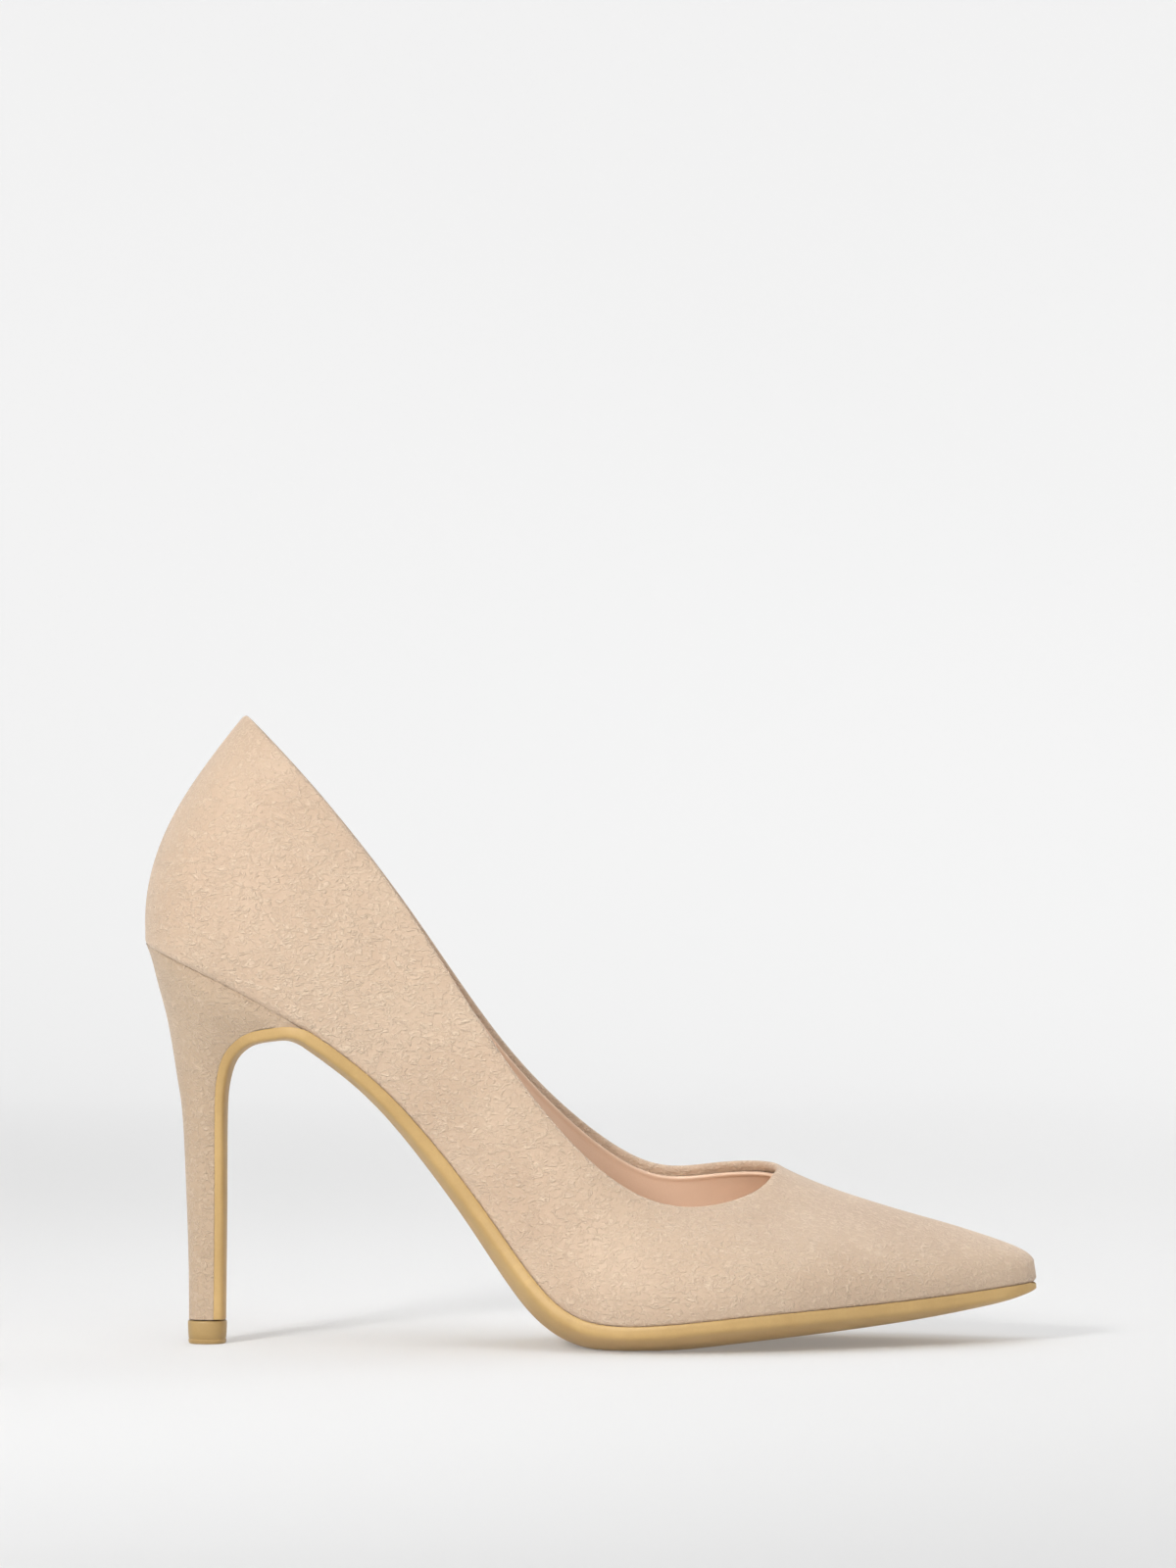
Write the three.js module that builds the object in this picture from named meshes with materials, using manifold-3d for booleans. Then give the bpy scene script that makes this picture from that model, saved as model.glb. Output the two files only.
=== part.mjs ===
// A pointed high heel pump: covered stiletto heel, one-piece suede upper, moulded sole.
// Millimetres. +X points from heel to toe, +Y to the wearer's medial side, +Z up.
// The shoe is laid out on a last: a bottom line seen from the side, a foot outline round it,
// and ribs that climb from that outline to the topline. Every layer is an offset of that last.
import * as THREE from 'three';
import { mergeVertices } from 'three/addons/utils/BufferGeometryUtils.js';
import Module from 'manifold-3d';

const wasm = await Module();
wasm.setup();

// ---------------------------------------------------------------- driving sizes
const SHOE_LENGTH = 221.2;    // heel curve to toe tip, along the floor
const BALL_WIDTH = 74;        // across the ball, outside the upper
const HEEL_HEIGHT = 98;       // floor to the heel rim at the back
const CLEARANCE = 0.3;        // glue line between two neighbouring layers

const UPPER_THICKNESS = 1.0;
const LINING_THICKNESS = 0.7;
const STIFFENER_THICKNESS = 0.7;
const BOARD_THICKNESS = 2.0;
const LASTING_MARGIN = 8;     // how far upper and lining turn under the board
const HEM_DEPTH = 8;          // folded topline hem, hidden behind the lining
const HEM_THICKNESS = 0.6;    // the hem is skived thin
const LINING_DROP = 2.4;      // lining edge below the topline
const FOLD_RISE = 1.3;        // roundness of the topline fold
const SOCK_THICKNESS = 0.8;
const PAD_THICKNESS = 2.0;
const SOLE_OVERHANG = 2.0;    // sole edge outside the board outline
const SOLE_EDGE = 1.9;        // upright edge of the sole
const EDGE_SHARE = 0.7;       // the edge's largest share of the sole's thickness
const BREAST_THICKNESS = 2.6; // sole strip that runs down the heel breast
const COVER_THICKNESS = 0.9;
const TIP_HEIGHT = 5.7;
const TIP_OVERHANG = 0.25;
const SHANK_WIDTH = 11;
const SHANK_THICKNESS = 1.5;
const SHANK_RIB = 0.4;
const SHANK_END_WIDTH = 0.72; // its ends' share of the full width
const RIB_STRETCH = 0.42;     // share of the shank where the rib starts, and share that it runs
const FILLER_THICKNESS = 2.0;
const TUBE_RADIUS = 2.1;
const TUBE_WALL = 0.6;
const TUBE_BELOW_SCREW = 6;   // solid moulding between the heel tube and the screw
const PIN_LENGTH = 16;
const PIN_SUNK = 0.4;         // share of the tip's height that is left under the pin
const SCREW_RADIUS = 1.9;
const SCREW_LENGTH = 19;
const NAIL_RADIUS = 0.9;
const NAIL_LENGTH = 11.5;
const RIVET_RADIUS = 1.6;
const HEAD_HEIGHT = 0.9;
const SCREW_HEAD = 1.9;       // head radius over shank radius
const NAIL_HEAD = 2;
const RIVET_HEAD = 1.7;

// The sample last below is drawn at these sizes and graded to the ones above.
const SAMPLE_LENGTH = 221.2;
const SAMPLE_WIDTH = 71.5;
const SAMPLE_HEIGHT = 98;
const BALL_X = 124;
const BALL_Z = 6.1;
const lengthGrade = SHOE_LENGTH / SAMPLE_LENGTH;
const widthGrade = BALL_WIDTH / SAMPLE_WIDTH;
const heelGrade = (HEEL_HEIGHT - BALL_Z) / (SAMPLE_HEIGHT - BALL_Z);

// ---------------------------------------------------------------- sample last
// Bottom line from heel to toe: x, z and how thick the moulded sole is below it.
const BOTTOM = [
  [0.5, 98.1, 3.0], [19.8, 88.9, 3.0], [38.2, 78.6, 3.3], [56.1, 65.3, 4.1],
  [71.0, 49.4, 4.6], [84.0, 32.5, 5.1], [95.2, 17.2, 5.8], [107.0, 7.6, 6.8],
  [124.0, 6.1, 7.3], [146.0, 8.1, 7.2], [170.0, 9.8, 6.3], [195.0, 11.6, 4.7],
  [220.5, 14.2, 2.2],
];

// Ribs round the foot, from the heel along the lateral side to the toe and back along the medial
// side. foot: x, y on the bottom line. top: x, y, z on the topline. rise and lean: length and
// outward angle of the curve's start. tilt and reach: angle and share of its end.
const RIBS = [
  { foot: [1.0, 0], top: [26.9, 0, 153.4], rise: 20, lean: 27, tilt: 14, reach: 0.38 },
  { foot: [6.4, -14.5], top: [31.0, -9.5, 148.6], rise: 19, lean: 22, tilt: 14, reach: 0.36 },
  { foot: [27.4, -21], top: [44.3, -16, 133.6], rise: 15, lean: 18, tilt: 14, reach: 0.3 },
  { foot: [52.4, -19.5], top: [66, -20, 105.6], rise: 11, lean: 18, tilt: 14, reach: 0.3 },
  { foot: [75.6, -18.5], top: [89, -22, 70.9], rise: 9, lean: 20, tilt: 14, reach: 0.3 },
  { foot: [95.9, -25], top: [110.5, -23, 44.8], rise: 9, lean: 20, tilt: 14, reach: 0.3 },
  { foot: [122.5, -34.5], top: [127.5, -21.6, 34.2], rise: 9, lean: 18, tilt: 16, reach: 0.32 },
  { foot: [152.4, -33], top: [140.5, -16.8, 33.4], rise: 9, lean: 16, tilt: 12, reach: 0.3 },
  { foot: [182.3, -20], top: [149.8, -9.5, 36.6], rise: 8, lean: 14, tilt: 0, reach: 0.25 },
  { foot: [205.7, -7], top: [153.6, -2.6, 40.2], rise: 5.8, lean: 10, tilt: -16, reach: 0.18 },
  { foot: [217.5, 3.5], top: [154.6, 3.5, 41.4], rise: 4.6, lean: 11, tilt: -23, reach: 0.17 },
  { foot: [206.7, 13.5], top: [153.5, 8.8, 42.0], rise: 5.8, lean: 10, tilt: -16, reach: 0.18 },
  { foot: [184.3, 23], top: [149.2, 14, 42.4], rise: 8, lean: 12, tilt: -2, reach: 0.25 },
  { foot: [156.4, 29], top: [139.5, 19.5, 41.8], rise: 9, lean: 13, tilt: 12, reach: 0.32 },
  { foot: [126.5, 26.5], top: [126.5, 22.2, 42.0], rise: 9, lean: 16, tilt: 16, reach: 0.32 },
  { foot: [97.2, 16.5], top: [110.5, 23, 51.4], rise: 9, lean: 26, tilt: 14, reach: 0.3 },
  { foot: [75.6, 12.5], top: [89, 22, 73.0], rise: 9, lean: 28, tilt: 14, reach: 0.3 },
  { foot: [52.4, 17.5], top: [66, 20, 105.4], rise: 11, lean: 20, tilt: 14, reach: 0.3 },
  { foot: [27.4, 21], top: [44.3, 16, 133.3], rise: 15, lean: 18, tilt: 14, reach: 0.3 },
  { foot: [6.4, 14.5], top: [31.0, 9.5, 148.6], rise: 19, lean: 22, tilt: 14, reach: 0.36 },
];

// Heel sections from the seat down to the tip: back x, z, breast x, z and half width.
const HEEL = [
  [1.6, 94.6, 33.0, 78.6, 21.4], [3.3, 88.0, 26.9, 77.4, 18.4], [5.2, 80.8, 22.6, 74.9, 14.8],
  [6.9, 71.5, 19.4, 70.8, 11.0], [8.0, 64.4, 17.8, 65.0, 8.6], [9.1, 56.0, 17.3, 57.0, 7.1],
  [9.9, 40.0, 17.2, 40.0, 5.8], [10.45, 25.0, 17.1, 25.0, 5.2], [10.65, 14.0, 17.0, 14.0, 4.9],
  [10.65, 6.1, 16.9, 6.1, 4.7],
];
const HEEL_FULLNESS = 2.3;    // 2 is an ellipse, more is squarer
const SEAT_FRONT_X = 39.5;    // where the heel seat ends and the sole lies on the upper
const SHANK_FROM = 14;
const SHANK_TO = 100;
const FILLER_FROM = 112;
const FILLER_TO = 200;
const SOCK_TO = 206;
const HEEL_PAD = [10, 44];
const FORE_PAD = [118, 172];
const SCREW_X = 20;
const RIVETS = [42, 92];
const NAIL_TURNS = [0.05, 0.95, 0.09, 0.91];  // where round the seat, just inside the margins

// ---------------------------------------------------------------- splines
// Cubic B-spline through the given rows: the control rows are found by relaxation.
function controlRows(points, closed) {
  const count = points.length;
  let control = points.map((row) => row.slice());
  for (let pass = 0; pass < 80; pass += 1) {
    control = control.map((row, i) => {
      if (!closed && (i === 0 || i === count - 1)) return points[i].slice();
      const before = control[(i + count - 1) % count];
      const after = control[(i + 1) % count];
      return row.map((_, k) => 1.5 * points[i][k] - 0.25 * (before[k] + after[k]));
    });
  }
  return control;
}

function spline(points, closed) {
  const control = controlRows(points, closed);
  const count = points.length;
  const mirrored = (end, inner) => end.map((value, k) => 2 * value - inner[k]);
  const at = (i) => {
    if (closed) return control[(i + count) % count];
    if (i < 0) return mirrored(control[0], control[1]);
    if (i >= count) return mirrored(control[count - 1], control[count - 2]);
    return control[i];
  };
  return (share) => {
    const spans = closed ? count : count - 1;
    const place = closed ? (share - Math.floor(share)) * spans : clamp(share, 0, 1) * spans;
    const first = Math.min(Math.floor(place), spans - 1);
    const f = place - first;
    const weights = [
      (1 - f) ** 3 / 6,
      (3 * f ** 3 - 6 * f ** 2 + 4) / 6,
      (-3 * f ** 3 + 3 * f ** 2 + 3 * f + 1) / 6,
      f ** 3 / 6,
    ];
    const rows = [at(first - 1), at(first), at(first + 1), at(first + 2)];
    return points[0].map((_, k) => weights.reduce((sum, w, j) => sum + w * rows[j][k], 0));
  };
}

const clamp = (value, low, high) => Math.min(Math.max(value, low), high);
const lerp = (a, b, share) => a + (b - a) * share;
const hump = (share) => Math.sqrt(Math.max(Math.sin(Math.PI * clamp(share, 0, 1)), 0));
const ease = (share) => 0.5 - 0.5 * Math.cos(Math.PI * share);
const steps = (count) => Array.from({ length: count + 1 }, (_, i) => i / count);
const radians = THREE.MathUtils.degToRad;
const vector = (x, y, z) => new THREE.Vector3(x, y, z);
const stepAlong = (origin, ...moves) => moves.reduce(
  (point, [direction, distance]) => point.addScaledVector(direction, distance),
  origin.clone(),
);

// ---------------------------------------------------------------- bottom line
const gradeX = (x) => x * lengthGrade;
const gradeZ = (z) => (z > BALL_Z ? BALL_Z + (z - BALL_Z) * heelGrade : z);
const bottomCurve = spline(
  BOTTOM.map(([x, z, thick]) => [gradeX(x), x < BALL_X ? gradeZ(z) : z, thick]),
  false,
);
const sampleBottom = spline(BOTTOM, false);

// The bottom line as a table of places, each with its length from the heel.
function measureLine(curve, count) {
  const table = [{ x: curve(0)[0], z: curve(0)[1], thick: curve(0)[2], along: 0 }];
  for (let i = 1; i <= count; i += 1) {
    const [x, z, thick] = curve(i / count);
    const last = table[i - 1];
    table.push({ x, z, thick, along: last.along + Math.hypot(x - last.x, z - last.z) });
  }
  return table;
}
const bottomTable = measureLine(bottomCurve, 1200);
const sampleTable = measureLine(sampleBottom, 1200);
const BOTTOM_LENGTH = bottomTable[bottomTable.length - 1].along;

function lookUp(table, key, value) {
  let low = 0;
  let high = table.length - 1;
  while (high - low > 1) {
    const middle = (low + high) >> 1;
    if (table[middle][key] > value) high = middle;
    else low = middle;
  }
  const a = table[low];
  const b = table[high];
  const share = (value - a[key]) / (b[key] - a[key]);
  const mix = (name) => lerp(a[name], b[name], share);
  return { x: mix('x'), z: mix('z'), thick: mix('thick'), along: mix('along') };
}
const alongAt = (x) => lookUp(bottomTable, 'x', x).along;

// A point over the bottom line: how far along it, across it and above it.
const SLOPE_STEP = 0.6;
function over(along, across, above) {
  const here = lookUp(bottomTable, 'along', along);
  const back = lookUp(bottomTable, 'along', along - SLOPE_STEP);
  const front = lookUp(bottomTable, 'along', along + SLOPE_STEP);
  const forward = vector(front.x - back.x, 0, front.z - back.z).normalize();
  const up = vector(-forward.z, 0, forward.x);
  const point = stepAlong(vector(here.x, across, here.z), [up, above]);
  return { point, forward, up, thick: here.thick };
}

// ---------------------------------------------------------------- ribs
const LAST_ABOVE = CLEARANCE + UPPER_THICKNESS + CLEARANCE + LINING_THICKNESS + CLEARANCE
  + BOARD_THICKNESS;
const BOARD_LOW = LAST_ABOVE - BOARD_THICKNESS;
const LINING_LOW = CLEARANCE + UPPER_THICKNESS + CLEARANCE;
const STIFFENER_OUT = LINING_THICKNESS + CLEARANCE;
const UPPER_OUT = STIFFENER_OUT + STIFFENER_THICKNESS + CLEARANCE;

// The topline keeps its height over the bottom line when the heel is graded.
function gradeTop([x, y, z]) {
  const below = lookUp(sampleTable, 'x', x).z;
  const lift = x < BALL_X ? (heelGrade - 1) * (below - BALL_Z) : 0;
  return [gradeX(x), y * widthGrade, z + lift];
}
const ribCurve = spline(
  RIBS.map(({ foot, top, rise, lean, tilt, reach }) => [
    alongAt(gradeX(foot[0])), foot[1] * widthGrade, ...gradeTop(top), rise, lean, tilt, reach,
  ]),
  true,
);
const TURN = 1e-4;
const turnOf = (turn) => {
  const before = ribCurve(turn - TURN);
  const after = ribCurve(turn + TURN);
  return after.map((value, k) => value - before[k]);
};

// The foot outline at one turn (0 heel, 0.25 lateral, 0.5 toe, 0.75 medial).
function footAt(turn, above, outset = 0) {
  const [along, across] = ribCurve(turn);
  const [runAlong, runAcross] = turnOf(turn);
  const size = Math.hypot(runAlong, runAcross);
  const outAlong = runAcross / size;
  const outAcross = -runAlong / size;
  const place = over(along + outAlong * outset, across + outAcross * outset, above);
  const out = stepAlong(vector(0, 0, 0), [place.forward, outAlong], [vector(0, 1, 0), outAcross]);
  return { ...place, out };
}

function ribAt(turn) {
  const row = ribCurve(turn);
  const [rise, lean, tilt, reach] = row.slice(5);
  const foot = footAt(turn, LAST_ABOVE);
  const top = vector(...row.slice(2, 5));
  const run = vector(...turnOf(turn).slice(2, 5));
  const chord = foot.point.clone().sub(top);
  const size = chord.length();
  chord.normalize();
  const side = chord.clone().cross(run).normalize();
  const angle = radians(lean);
  const start = stepAlong(foot.point, [foot.up, rise * Math.cos(angle)], [foot.out, rise * Math.sin(angle)]);
  const end = stepAlong(
    top,
    [chord, reach * size * Math.cos(radians(tilt))],
    [side, reach * size * Math.sin(radians(tilt))],
  );
  return new THREE.CubicBezierCurve3(foot.point, start, end, top);
}

// A point on the last's side, moved outwards by a layer's distance.
const CLIMB = 1e-3;
function sideAt(turn, climb, outset) {
  const rib = ribAt(turn);
  const point = rib.getPoint(climb);
  const run = ribAt(turn + TURN).getPoint(climb).sub(ribAt(turn - TURN).getPoint(climb));
  const rise = rib.getPoint(Math.min(climb + CLIMB, 1)).sub(rib.getPoint(Math.max(climb - CLIMB, 0)));
  const out = run.cross(rise).normalize();
  return { point: stepAlong(point, [out, outset]), out, up: rise.normalize() };
}

// The climb that lies a given distance below the topline.
function climbBelow(turn, distance) {
  const rib = ribAt(turn);
  return 1 - distance / (3 * rib.v2.distanceTo(rib.v3));
}

// ---------------------------------------------------------------- closed bodies
function solid(points, faces) {
  const geometry = new THREE.BufferGeometry();
  const flat = faces.flatMap((face) => face.flatMap((i) => points[i].toArray()));
  geometry.setAttribute('position', new THREE.Float32BufferAttribute(flat, 3));
  return tidy(geometry);
}

// Joins shared corners and drops the faces that collapse at a pointed end.
const JOIN = 2e-3;
function tidy(geometry) {
  geometry.deleteAttribute('normal');
  geometry.deleteAttribute('uv');
  const merged = mergeVertices(geometry, JOIN);
  const index = merged.index.array;
  const kept = [];
  for (let i = 0; i < index.length; i += 3) {
    const [a, b, c] = index.slice(i, i + 3);
    if (a !== b && b !== c && c !== a) kept.push(a, b, c);
  }
  merged.setIndex(kept);
  merged.computeVertexNormals();
  return merged;
}

// A sheet with thickness: rows of matching points on its two faces, a to the inside of b.
function sheet(rows, closed = false) {
  const across = rows[0].a.length;
  const points = rows.flatMap((row) => [...row.a, ...row.b]);
  const at = (i, j, face) => (i % rows.length) * 2 * across + face * across + j;
  const faces = [];
  const quad = (p, q, r, s) => faces.push([p, q, r], [p, r, s]);
  const spans = closed ? rows.length : rows.length - 1;
  for (let i = 0; i < spans; i += 1) {
    for (let j = 0; j < across - 1; j += 1) {
      quad(at(i, j, 0), at(i, j + 1, 0), at(i + 1, j + 1, 0), at(i + 1, j, 0));
      quad(at(i, j, 1), at(i + 1, j, 1), at(i + 1, j + 1, 1), at(i, j + 1, 1));
    }
    quad(at(i, 0, 0), at(i + 1, 0, 0), at(i + 1, 0, 1), at(i, 0, 1));
    quad(at(i, across - 1, 0), at(i, across - 1, 1), at(i + 1, across - 1, 1), at(i + 1, across - 1, 0));
  }
  if (!closed) {
    const end = rows.length - 1;
    for (let j = 0; j < across - 1; j += 1) {
      quad(at(0, j, 0), at(0, j, 1), at(0, j + 1, 1), at(0, j + 1, 0));
      quad(at(end, j, 0), at(end, j + 1, 0), at(end, j + 1, 1), at(end, j, 1));
    }
  }
  return outward(solid(points, faces));
}

// Turns a body's faces round where its rows run the other way.
function outward(geometry) {
  const p = geometry.attributes.position;
  const index = geometry.index.array;
  let volume = 0;
  for (let i = 0; i < index.length; i += 3) {
    const [a, b, c] = [0, 1, 2].map((k) => vector().fromBufferAttribute(p, index[i + k]));
    volume += a.dot(b.cross(c));
  }
  if (volume < 0) {
    const turned = [];
    for (let i = 0; i < index.length; i += 3) turned.push(index[i], index[i + 2], index[i + 1]);
    geometry.setIndex(turned);
    geometry.computeVertexNormals();
  }
  return geometry;
}

// A round pin along a line, from a lathe profile of radius and distance from its foot.
const ROUND = 16;
const TUBE_ROUND = 20;
function turned(profile, foot, direction, segments = ROUND) {
  const geometry = new THREE.LatheGeometry(
    profile.map(([radius, height]) => new THREE.Vector2(radius, height)),
    segments,
  );
  const turn = new THREE.Quaternion().setFromUnitVectors(vector(0, 1, 0), direction);
  geometry.applyQuaternion(turn);
  geometry.translate(foot.x, foot.y, foot.z);
  return outward(tidy(geometry));
}
const rod = (radius, length, foot, direction, segments) => turned(
  [[0, 0], [radius, 0], [radius, length], [0, length]], foot, direction, segments,
);

function manifoldOf(geometry) {
  return new wasm.Manifold(new wasm.Mesh({
    numProp: 3,
    vertProperties: geometry.attributes.position.array,
    triVerts: new Uint32Array(geometry.index.array),
  }));
}

function drilled(geometry, tools) {
  const body = tools.reduce((left, tool) => left.subtract(manifoldOf(tool)), manifoldOf(geometry));
  const mesh = body.getMesh();
  const result = new THREE.BufferGeometry();
  result.setAttribute('position', new THREE.BufferAttribute(mesh.vertProperties, 3));
  result.setIndex(new THREE.BufferAttribute(mesh.triVerts, 1));
  result.computeVertexNormals();
  return result;
}

// ---------------------------------------------------------------- stations
// The stations round the foot crowd together at the toe and the heel, where the outline is tight.
const STATIONS = 60;
const CROWDING = 0.4;
const TURNS = steps(STATIONS).map(
  (step) => step - CROWDING * Math.sin(4 * Math.PI * step) / (4 * Math.PI),
);
const turnsBetween = (from, to) => [
  from,
  ...[...TURNS.slice(1).map((turn) => turn - 1), ...TURNS.slice(1)]
    .filter((turn) => turn > from + 1e-3 && turn < to - 1e-3),
  to,
];

// ---------------------------------------------------------------- wrapped layers
// A layer's section from under the board, round the feather edge and up the side.
const UNDER = [1, 0.5];
const CORNER = [90, 60, 30];
const SKELETON_FROM = 24;
const SKELETON_END = 18;
const LONGEST_PULL = 0.8;     // a margin never reaches further than this share of the way

// The place a lasting margin is pulled towards: the middle line of the foot outline.
function skeletonAt(turn) {
  const [along, across] = ribCurve(turn);
  const [otherAlong, otherAcross] = ribCurve(1 - turn);
  const middle = (along + otherAlong) / 2;
  return [
    clamp(middle, SKELETON_FROM, BOTTOM_LENGTH - SKELETON_END),
    (across + otherAcross) / 2,
  ];
}

function marginPlace(turn, share) {
  const [along, across] = ribCurve(turn);
  const [toAlong, toAcross] = skeletonAt(turn);
  const size = Math.hypot(toAlong - along, toAcross - across);
  const pull = Math.min(LASTING_MARGIN * share, size * LONGEST_PULL * share) / size;
  return [lerp(along, toAlong, pull), lerp(across, toAcross, pull)];
}

function wrapped(turn, outset, above, climbs) {
  const bend = footAt(turn, BOARD_LOW);
  const drop = BOARD_LOW - above;
  return [
    ...UNDER.map((share) => over(...marginPlace(turn, share), above).point),
    ...CORNER.map((angle) => stepAlong(
      bend.point,
      [bend.out, outset * Math.cos(radians(angle))],
      [bend.up, -drop * Math.sin(radians(angle))],
    )),
    ...climbs.map((climb) => sideAt(turn, climb, outset).point),
  ];
}

// The upper: outer face, fold over the topline, and the hem that hangs behind the lining.
const SIDE_CLIMBS = [0.04, 0.18, 0.34, 0.5, 0.66, 0.81, 0.92];
const FOLD_TURNS = [0, 60, 120, 180];
const FOLD_INNER_RISE = FOLD_RISE * 0.3;
function upperRow(turn) {
  const outer = UPPER_OUT + UPPER_THICKNESS;
  const edge = climbBelow(turn, FOLD_RISE);
  const hemEnd = climbBelow(turn, FOLD_RISE + HEM_DEPTH);
  const hem = [climbBelow(turn, LINING_DROP), ...SIDE_CLIMBS.slice(-2).reverse(), 0]
    .map((climb) => Math.max(climb, hemEnd));
  const hemFront = UPPER_OUT - CLEARANCE - HEM_THICKNESS;
  const hemBack = UPPER_OUT - CLEARANCE;
  const fold = (from, to, rise) => FOLD_TURNS.map((angle) => {
    const reach = (from + to) / 2 + (from - to) / 2 * Math.cos(radians(angle));
    const place = sideAt(turn, edge, reach);
    return stepAlong(place.point, [place.up, rise * Math.sin(radians(angle))]);
  });
  return {
    a: [
      ...wrapped(turn, UPPER_OUT, CLEARANCE + UPPER_THICKNESS, SIDE_CLIMBS),
      ...fold(UPPER_OUT, hemBack, FOLD_INNER_RISE),
      ...hem.map((climb) => sideAt(turn, climb, hemBack).point),
    ],
    b: [
      ...wrapped(turn, outer, CLEARANCE, SIDE_CLIMBS),
      ...fold(outer, hemFront, FOLD_RISE),
      ...hem.map((climb) => sideAt(turn, climb, hemFront).point),
    ],
  };
}

function liningRow(turn) {
  const edge = climbBelow(turn, LINING_DROP);
  const climbs = [...SIDE_CLIMBS.map((climb) => Math.min(climb, edge)), edge];
  return {
    a: wrapped(turn, 0, LINING_LOW + LINING_THICKNESS, climbs),
    b: wrapped(turn, LINING_THICKNESS, LINING_LOW, climbs),
  };
}

function stiffenerRow(turn, height) {
  const climbs = [...SIDE_CLIMBS.map((climb) => Math.min(climb, height)), height];
  return {
    a: climbs.map((climb) => sideAt(turn, climb, STIFFENER_OUT).point),
    b: climbs.map((climb) => sideAt(turn, climb, STIFFENER_OUT + STIFFENER_THICKNESS).point),
  };
}

// ---------------------------------------------------------------- plates in the bottom
// A plate between two heights, its rim an inset of the foot outline. It runs from one turn on the
// lateral side to another nearer the toe; at turn 0 or 0.5 it closes in a point on the outline.
function plate({ from, to, columns, inset, low, high }) {
  return sheet(turnsBetween(from, to).map((turn) => {
    const left = outlinePlace(turn, inset);
    const right = outlinePlace(1 - turn, inset);
    const line = (height) => steps(columns).map((cross) => {
      const eased = ease(cross);
      const rise = typeof height === 'function' ? height(turn, eased) : height;
      return over(lerp(left[0], right[0], eased), lerp(left[1], right[1], eased), rise).point;
    });
    return { a: line(low), b: line(high) };
  }));
}

function outlinePlace(turn, inset) {
  const [along, across] = ribCurve(turn);
  const [runAlong, runAcross] = turnOf(turn);
  const size = Math.hypot(runAlong, runAcross);
  return [along - (runAcross / size) * inset, across + (runAlong / size) * inset];
}

// A plate inside the lasting margins.
const INLAY_PULL = 1.12;      // just inside the lasting margins
const INLAY_COLUMNS = 4;
function inlay({ from, to, low, high }) {
  return sheet(turnsBetween(from, to).map((turn) => {
    const left = marginPlace(turn, INLAY_PULL);
    const right = marginPlace(1 - turn, INLAY_PULL);
    const line = (height) => steps(INLAY_COLUMNS).map(
      (cross) => over(lerp(left[0], right[0], cross), lerp(left[1], right[1], cross), height).point,
    );
    return { a: line(low), b: line(high) };
  }));
}

// The turn at which the lateral side of the outline reaches x, and the foot's middle line there.
function turnAt(x) {
  let low = 0;
  let high = 0.5;
  for (let pass = 0; pass < 40; pass += 1) {
    const middle = (low + high) / 2;
    if (ribCurve(middle)[0] > alongAt(gradeX(x))) high = middle;
    else low = middle;
  }
  return low;
}
// Pieces in the bottom end on a station, so that their facets lie parallel where it bends.
const stationAt = (x) => TURNS.reduce((best, turn) => (
  Math.abs(turn - turnAt(x)) < Math.abs(best - turnAt(x)) ? turn : best
));
const middlePlace = (turn) => [0, 1].map((k) => (ribCurve(turn)[k] + ribCurve(1 - turn)[k]) / 2);

// ---------------------------------------------------------------- heel
const heelRows = HEEL.map(([backX, backZ, frontX, frontZ, half]) => ({
  back: vector(gradeX(backX), 0, gradeZ(backZ)),
  front: vector(gradeX(frontX), 0, gradeZ(frontZ)),
  half: half * widthGrade,
}));
const SEAT_BACK = -0.6;
const seatFront = alongAt(gradeX(SEAT_FRONT_X));
const seatHalf = 22 * widthGrade;
const SEAT_SLOPE = 0.5;       // how the seat drops towards the inside, in glue lines per mm
const HEEL_STEPS = 14;
const HEEL_TURNS = steps(HEEL_STEPS).map((share) => Math.PI * share);

// A D-shaped section: flat at the breast, round at the back.
function heelSection(row, inset, turns) {
  const ahead = row.front.clone().sub(row.back);
  const depth = ahead.length() - inset;
  ahead.normalize();
  return turns.map((angle) => {
    const back = 1 - Math.sin(angle) ** (2 / HEEL_FULLNESS);
    const side = -Math.sign(Math.cos(angle)) * Math.abs(Math.cos(angle)) ** (2 / HEEL_FULLNESS);
    return stepAlong(row.back, [ahead, inset + depth * back], [vector(0, 1, 0), side * (row.half - inset)]);
  });
}

// The topmost section follows the underside of the upper.
function seatSection(inset, turns) {
  const back = SEAT_BACK + inset;
  return turns.map((angle) => {
    const share = 1 - Math.sin(angle) ** (2 / HEEL_FULLNESS);
    const side = -Math.sign(Math.cos(angle)) * Math.abs(Math.cos(angle)) ** (2 / HEEL_FULLNESS);
    const drop = CLEARANCE * SEAT_SLOPE * inset;
    return over(lerp(back, seatFront, share), side * (seatHalf - inset), -drop).point;
  });
}

const heelSections = (inset, turns) => [
  seatSection(inset, turns),
  ...heelRows.map((row) => heelSection(row, inset, turns)),
];

function heelCover() {
  const outer = heelSections(0, HEEL_TURNS);
  const inner = heelSections(COVER_THICKNESS, HEEL_TURNS);
  return sheet(outer.map((section, i) => ({ a: inner[i], b: section })));
}

// The moulded core fills the cover; each section is a fan of strips across the D.
const CORE_INSET = COVER_THICKNESS + 1.5 * CLEARANCE;
function heelCore() {
  const rows = heelSections(CORE_INSET, HEEL_TURNS);
  const half = HEEL_STEPS / 2;
  return sheet(rows.map((section) => ({
    a: section.slice(0, half + 1),
    b: section.slice(half).reverse(),
  })));
}

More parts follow.
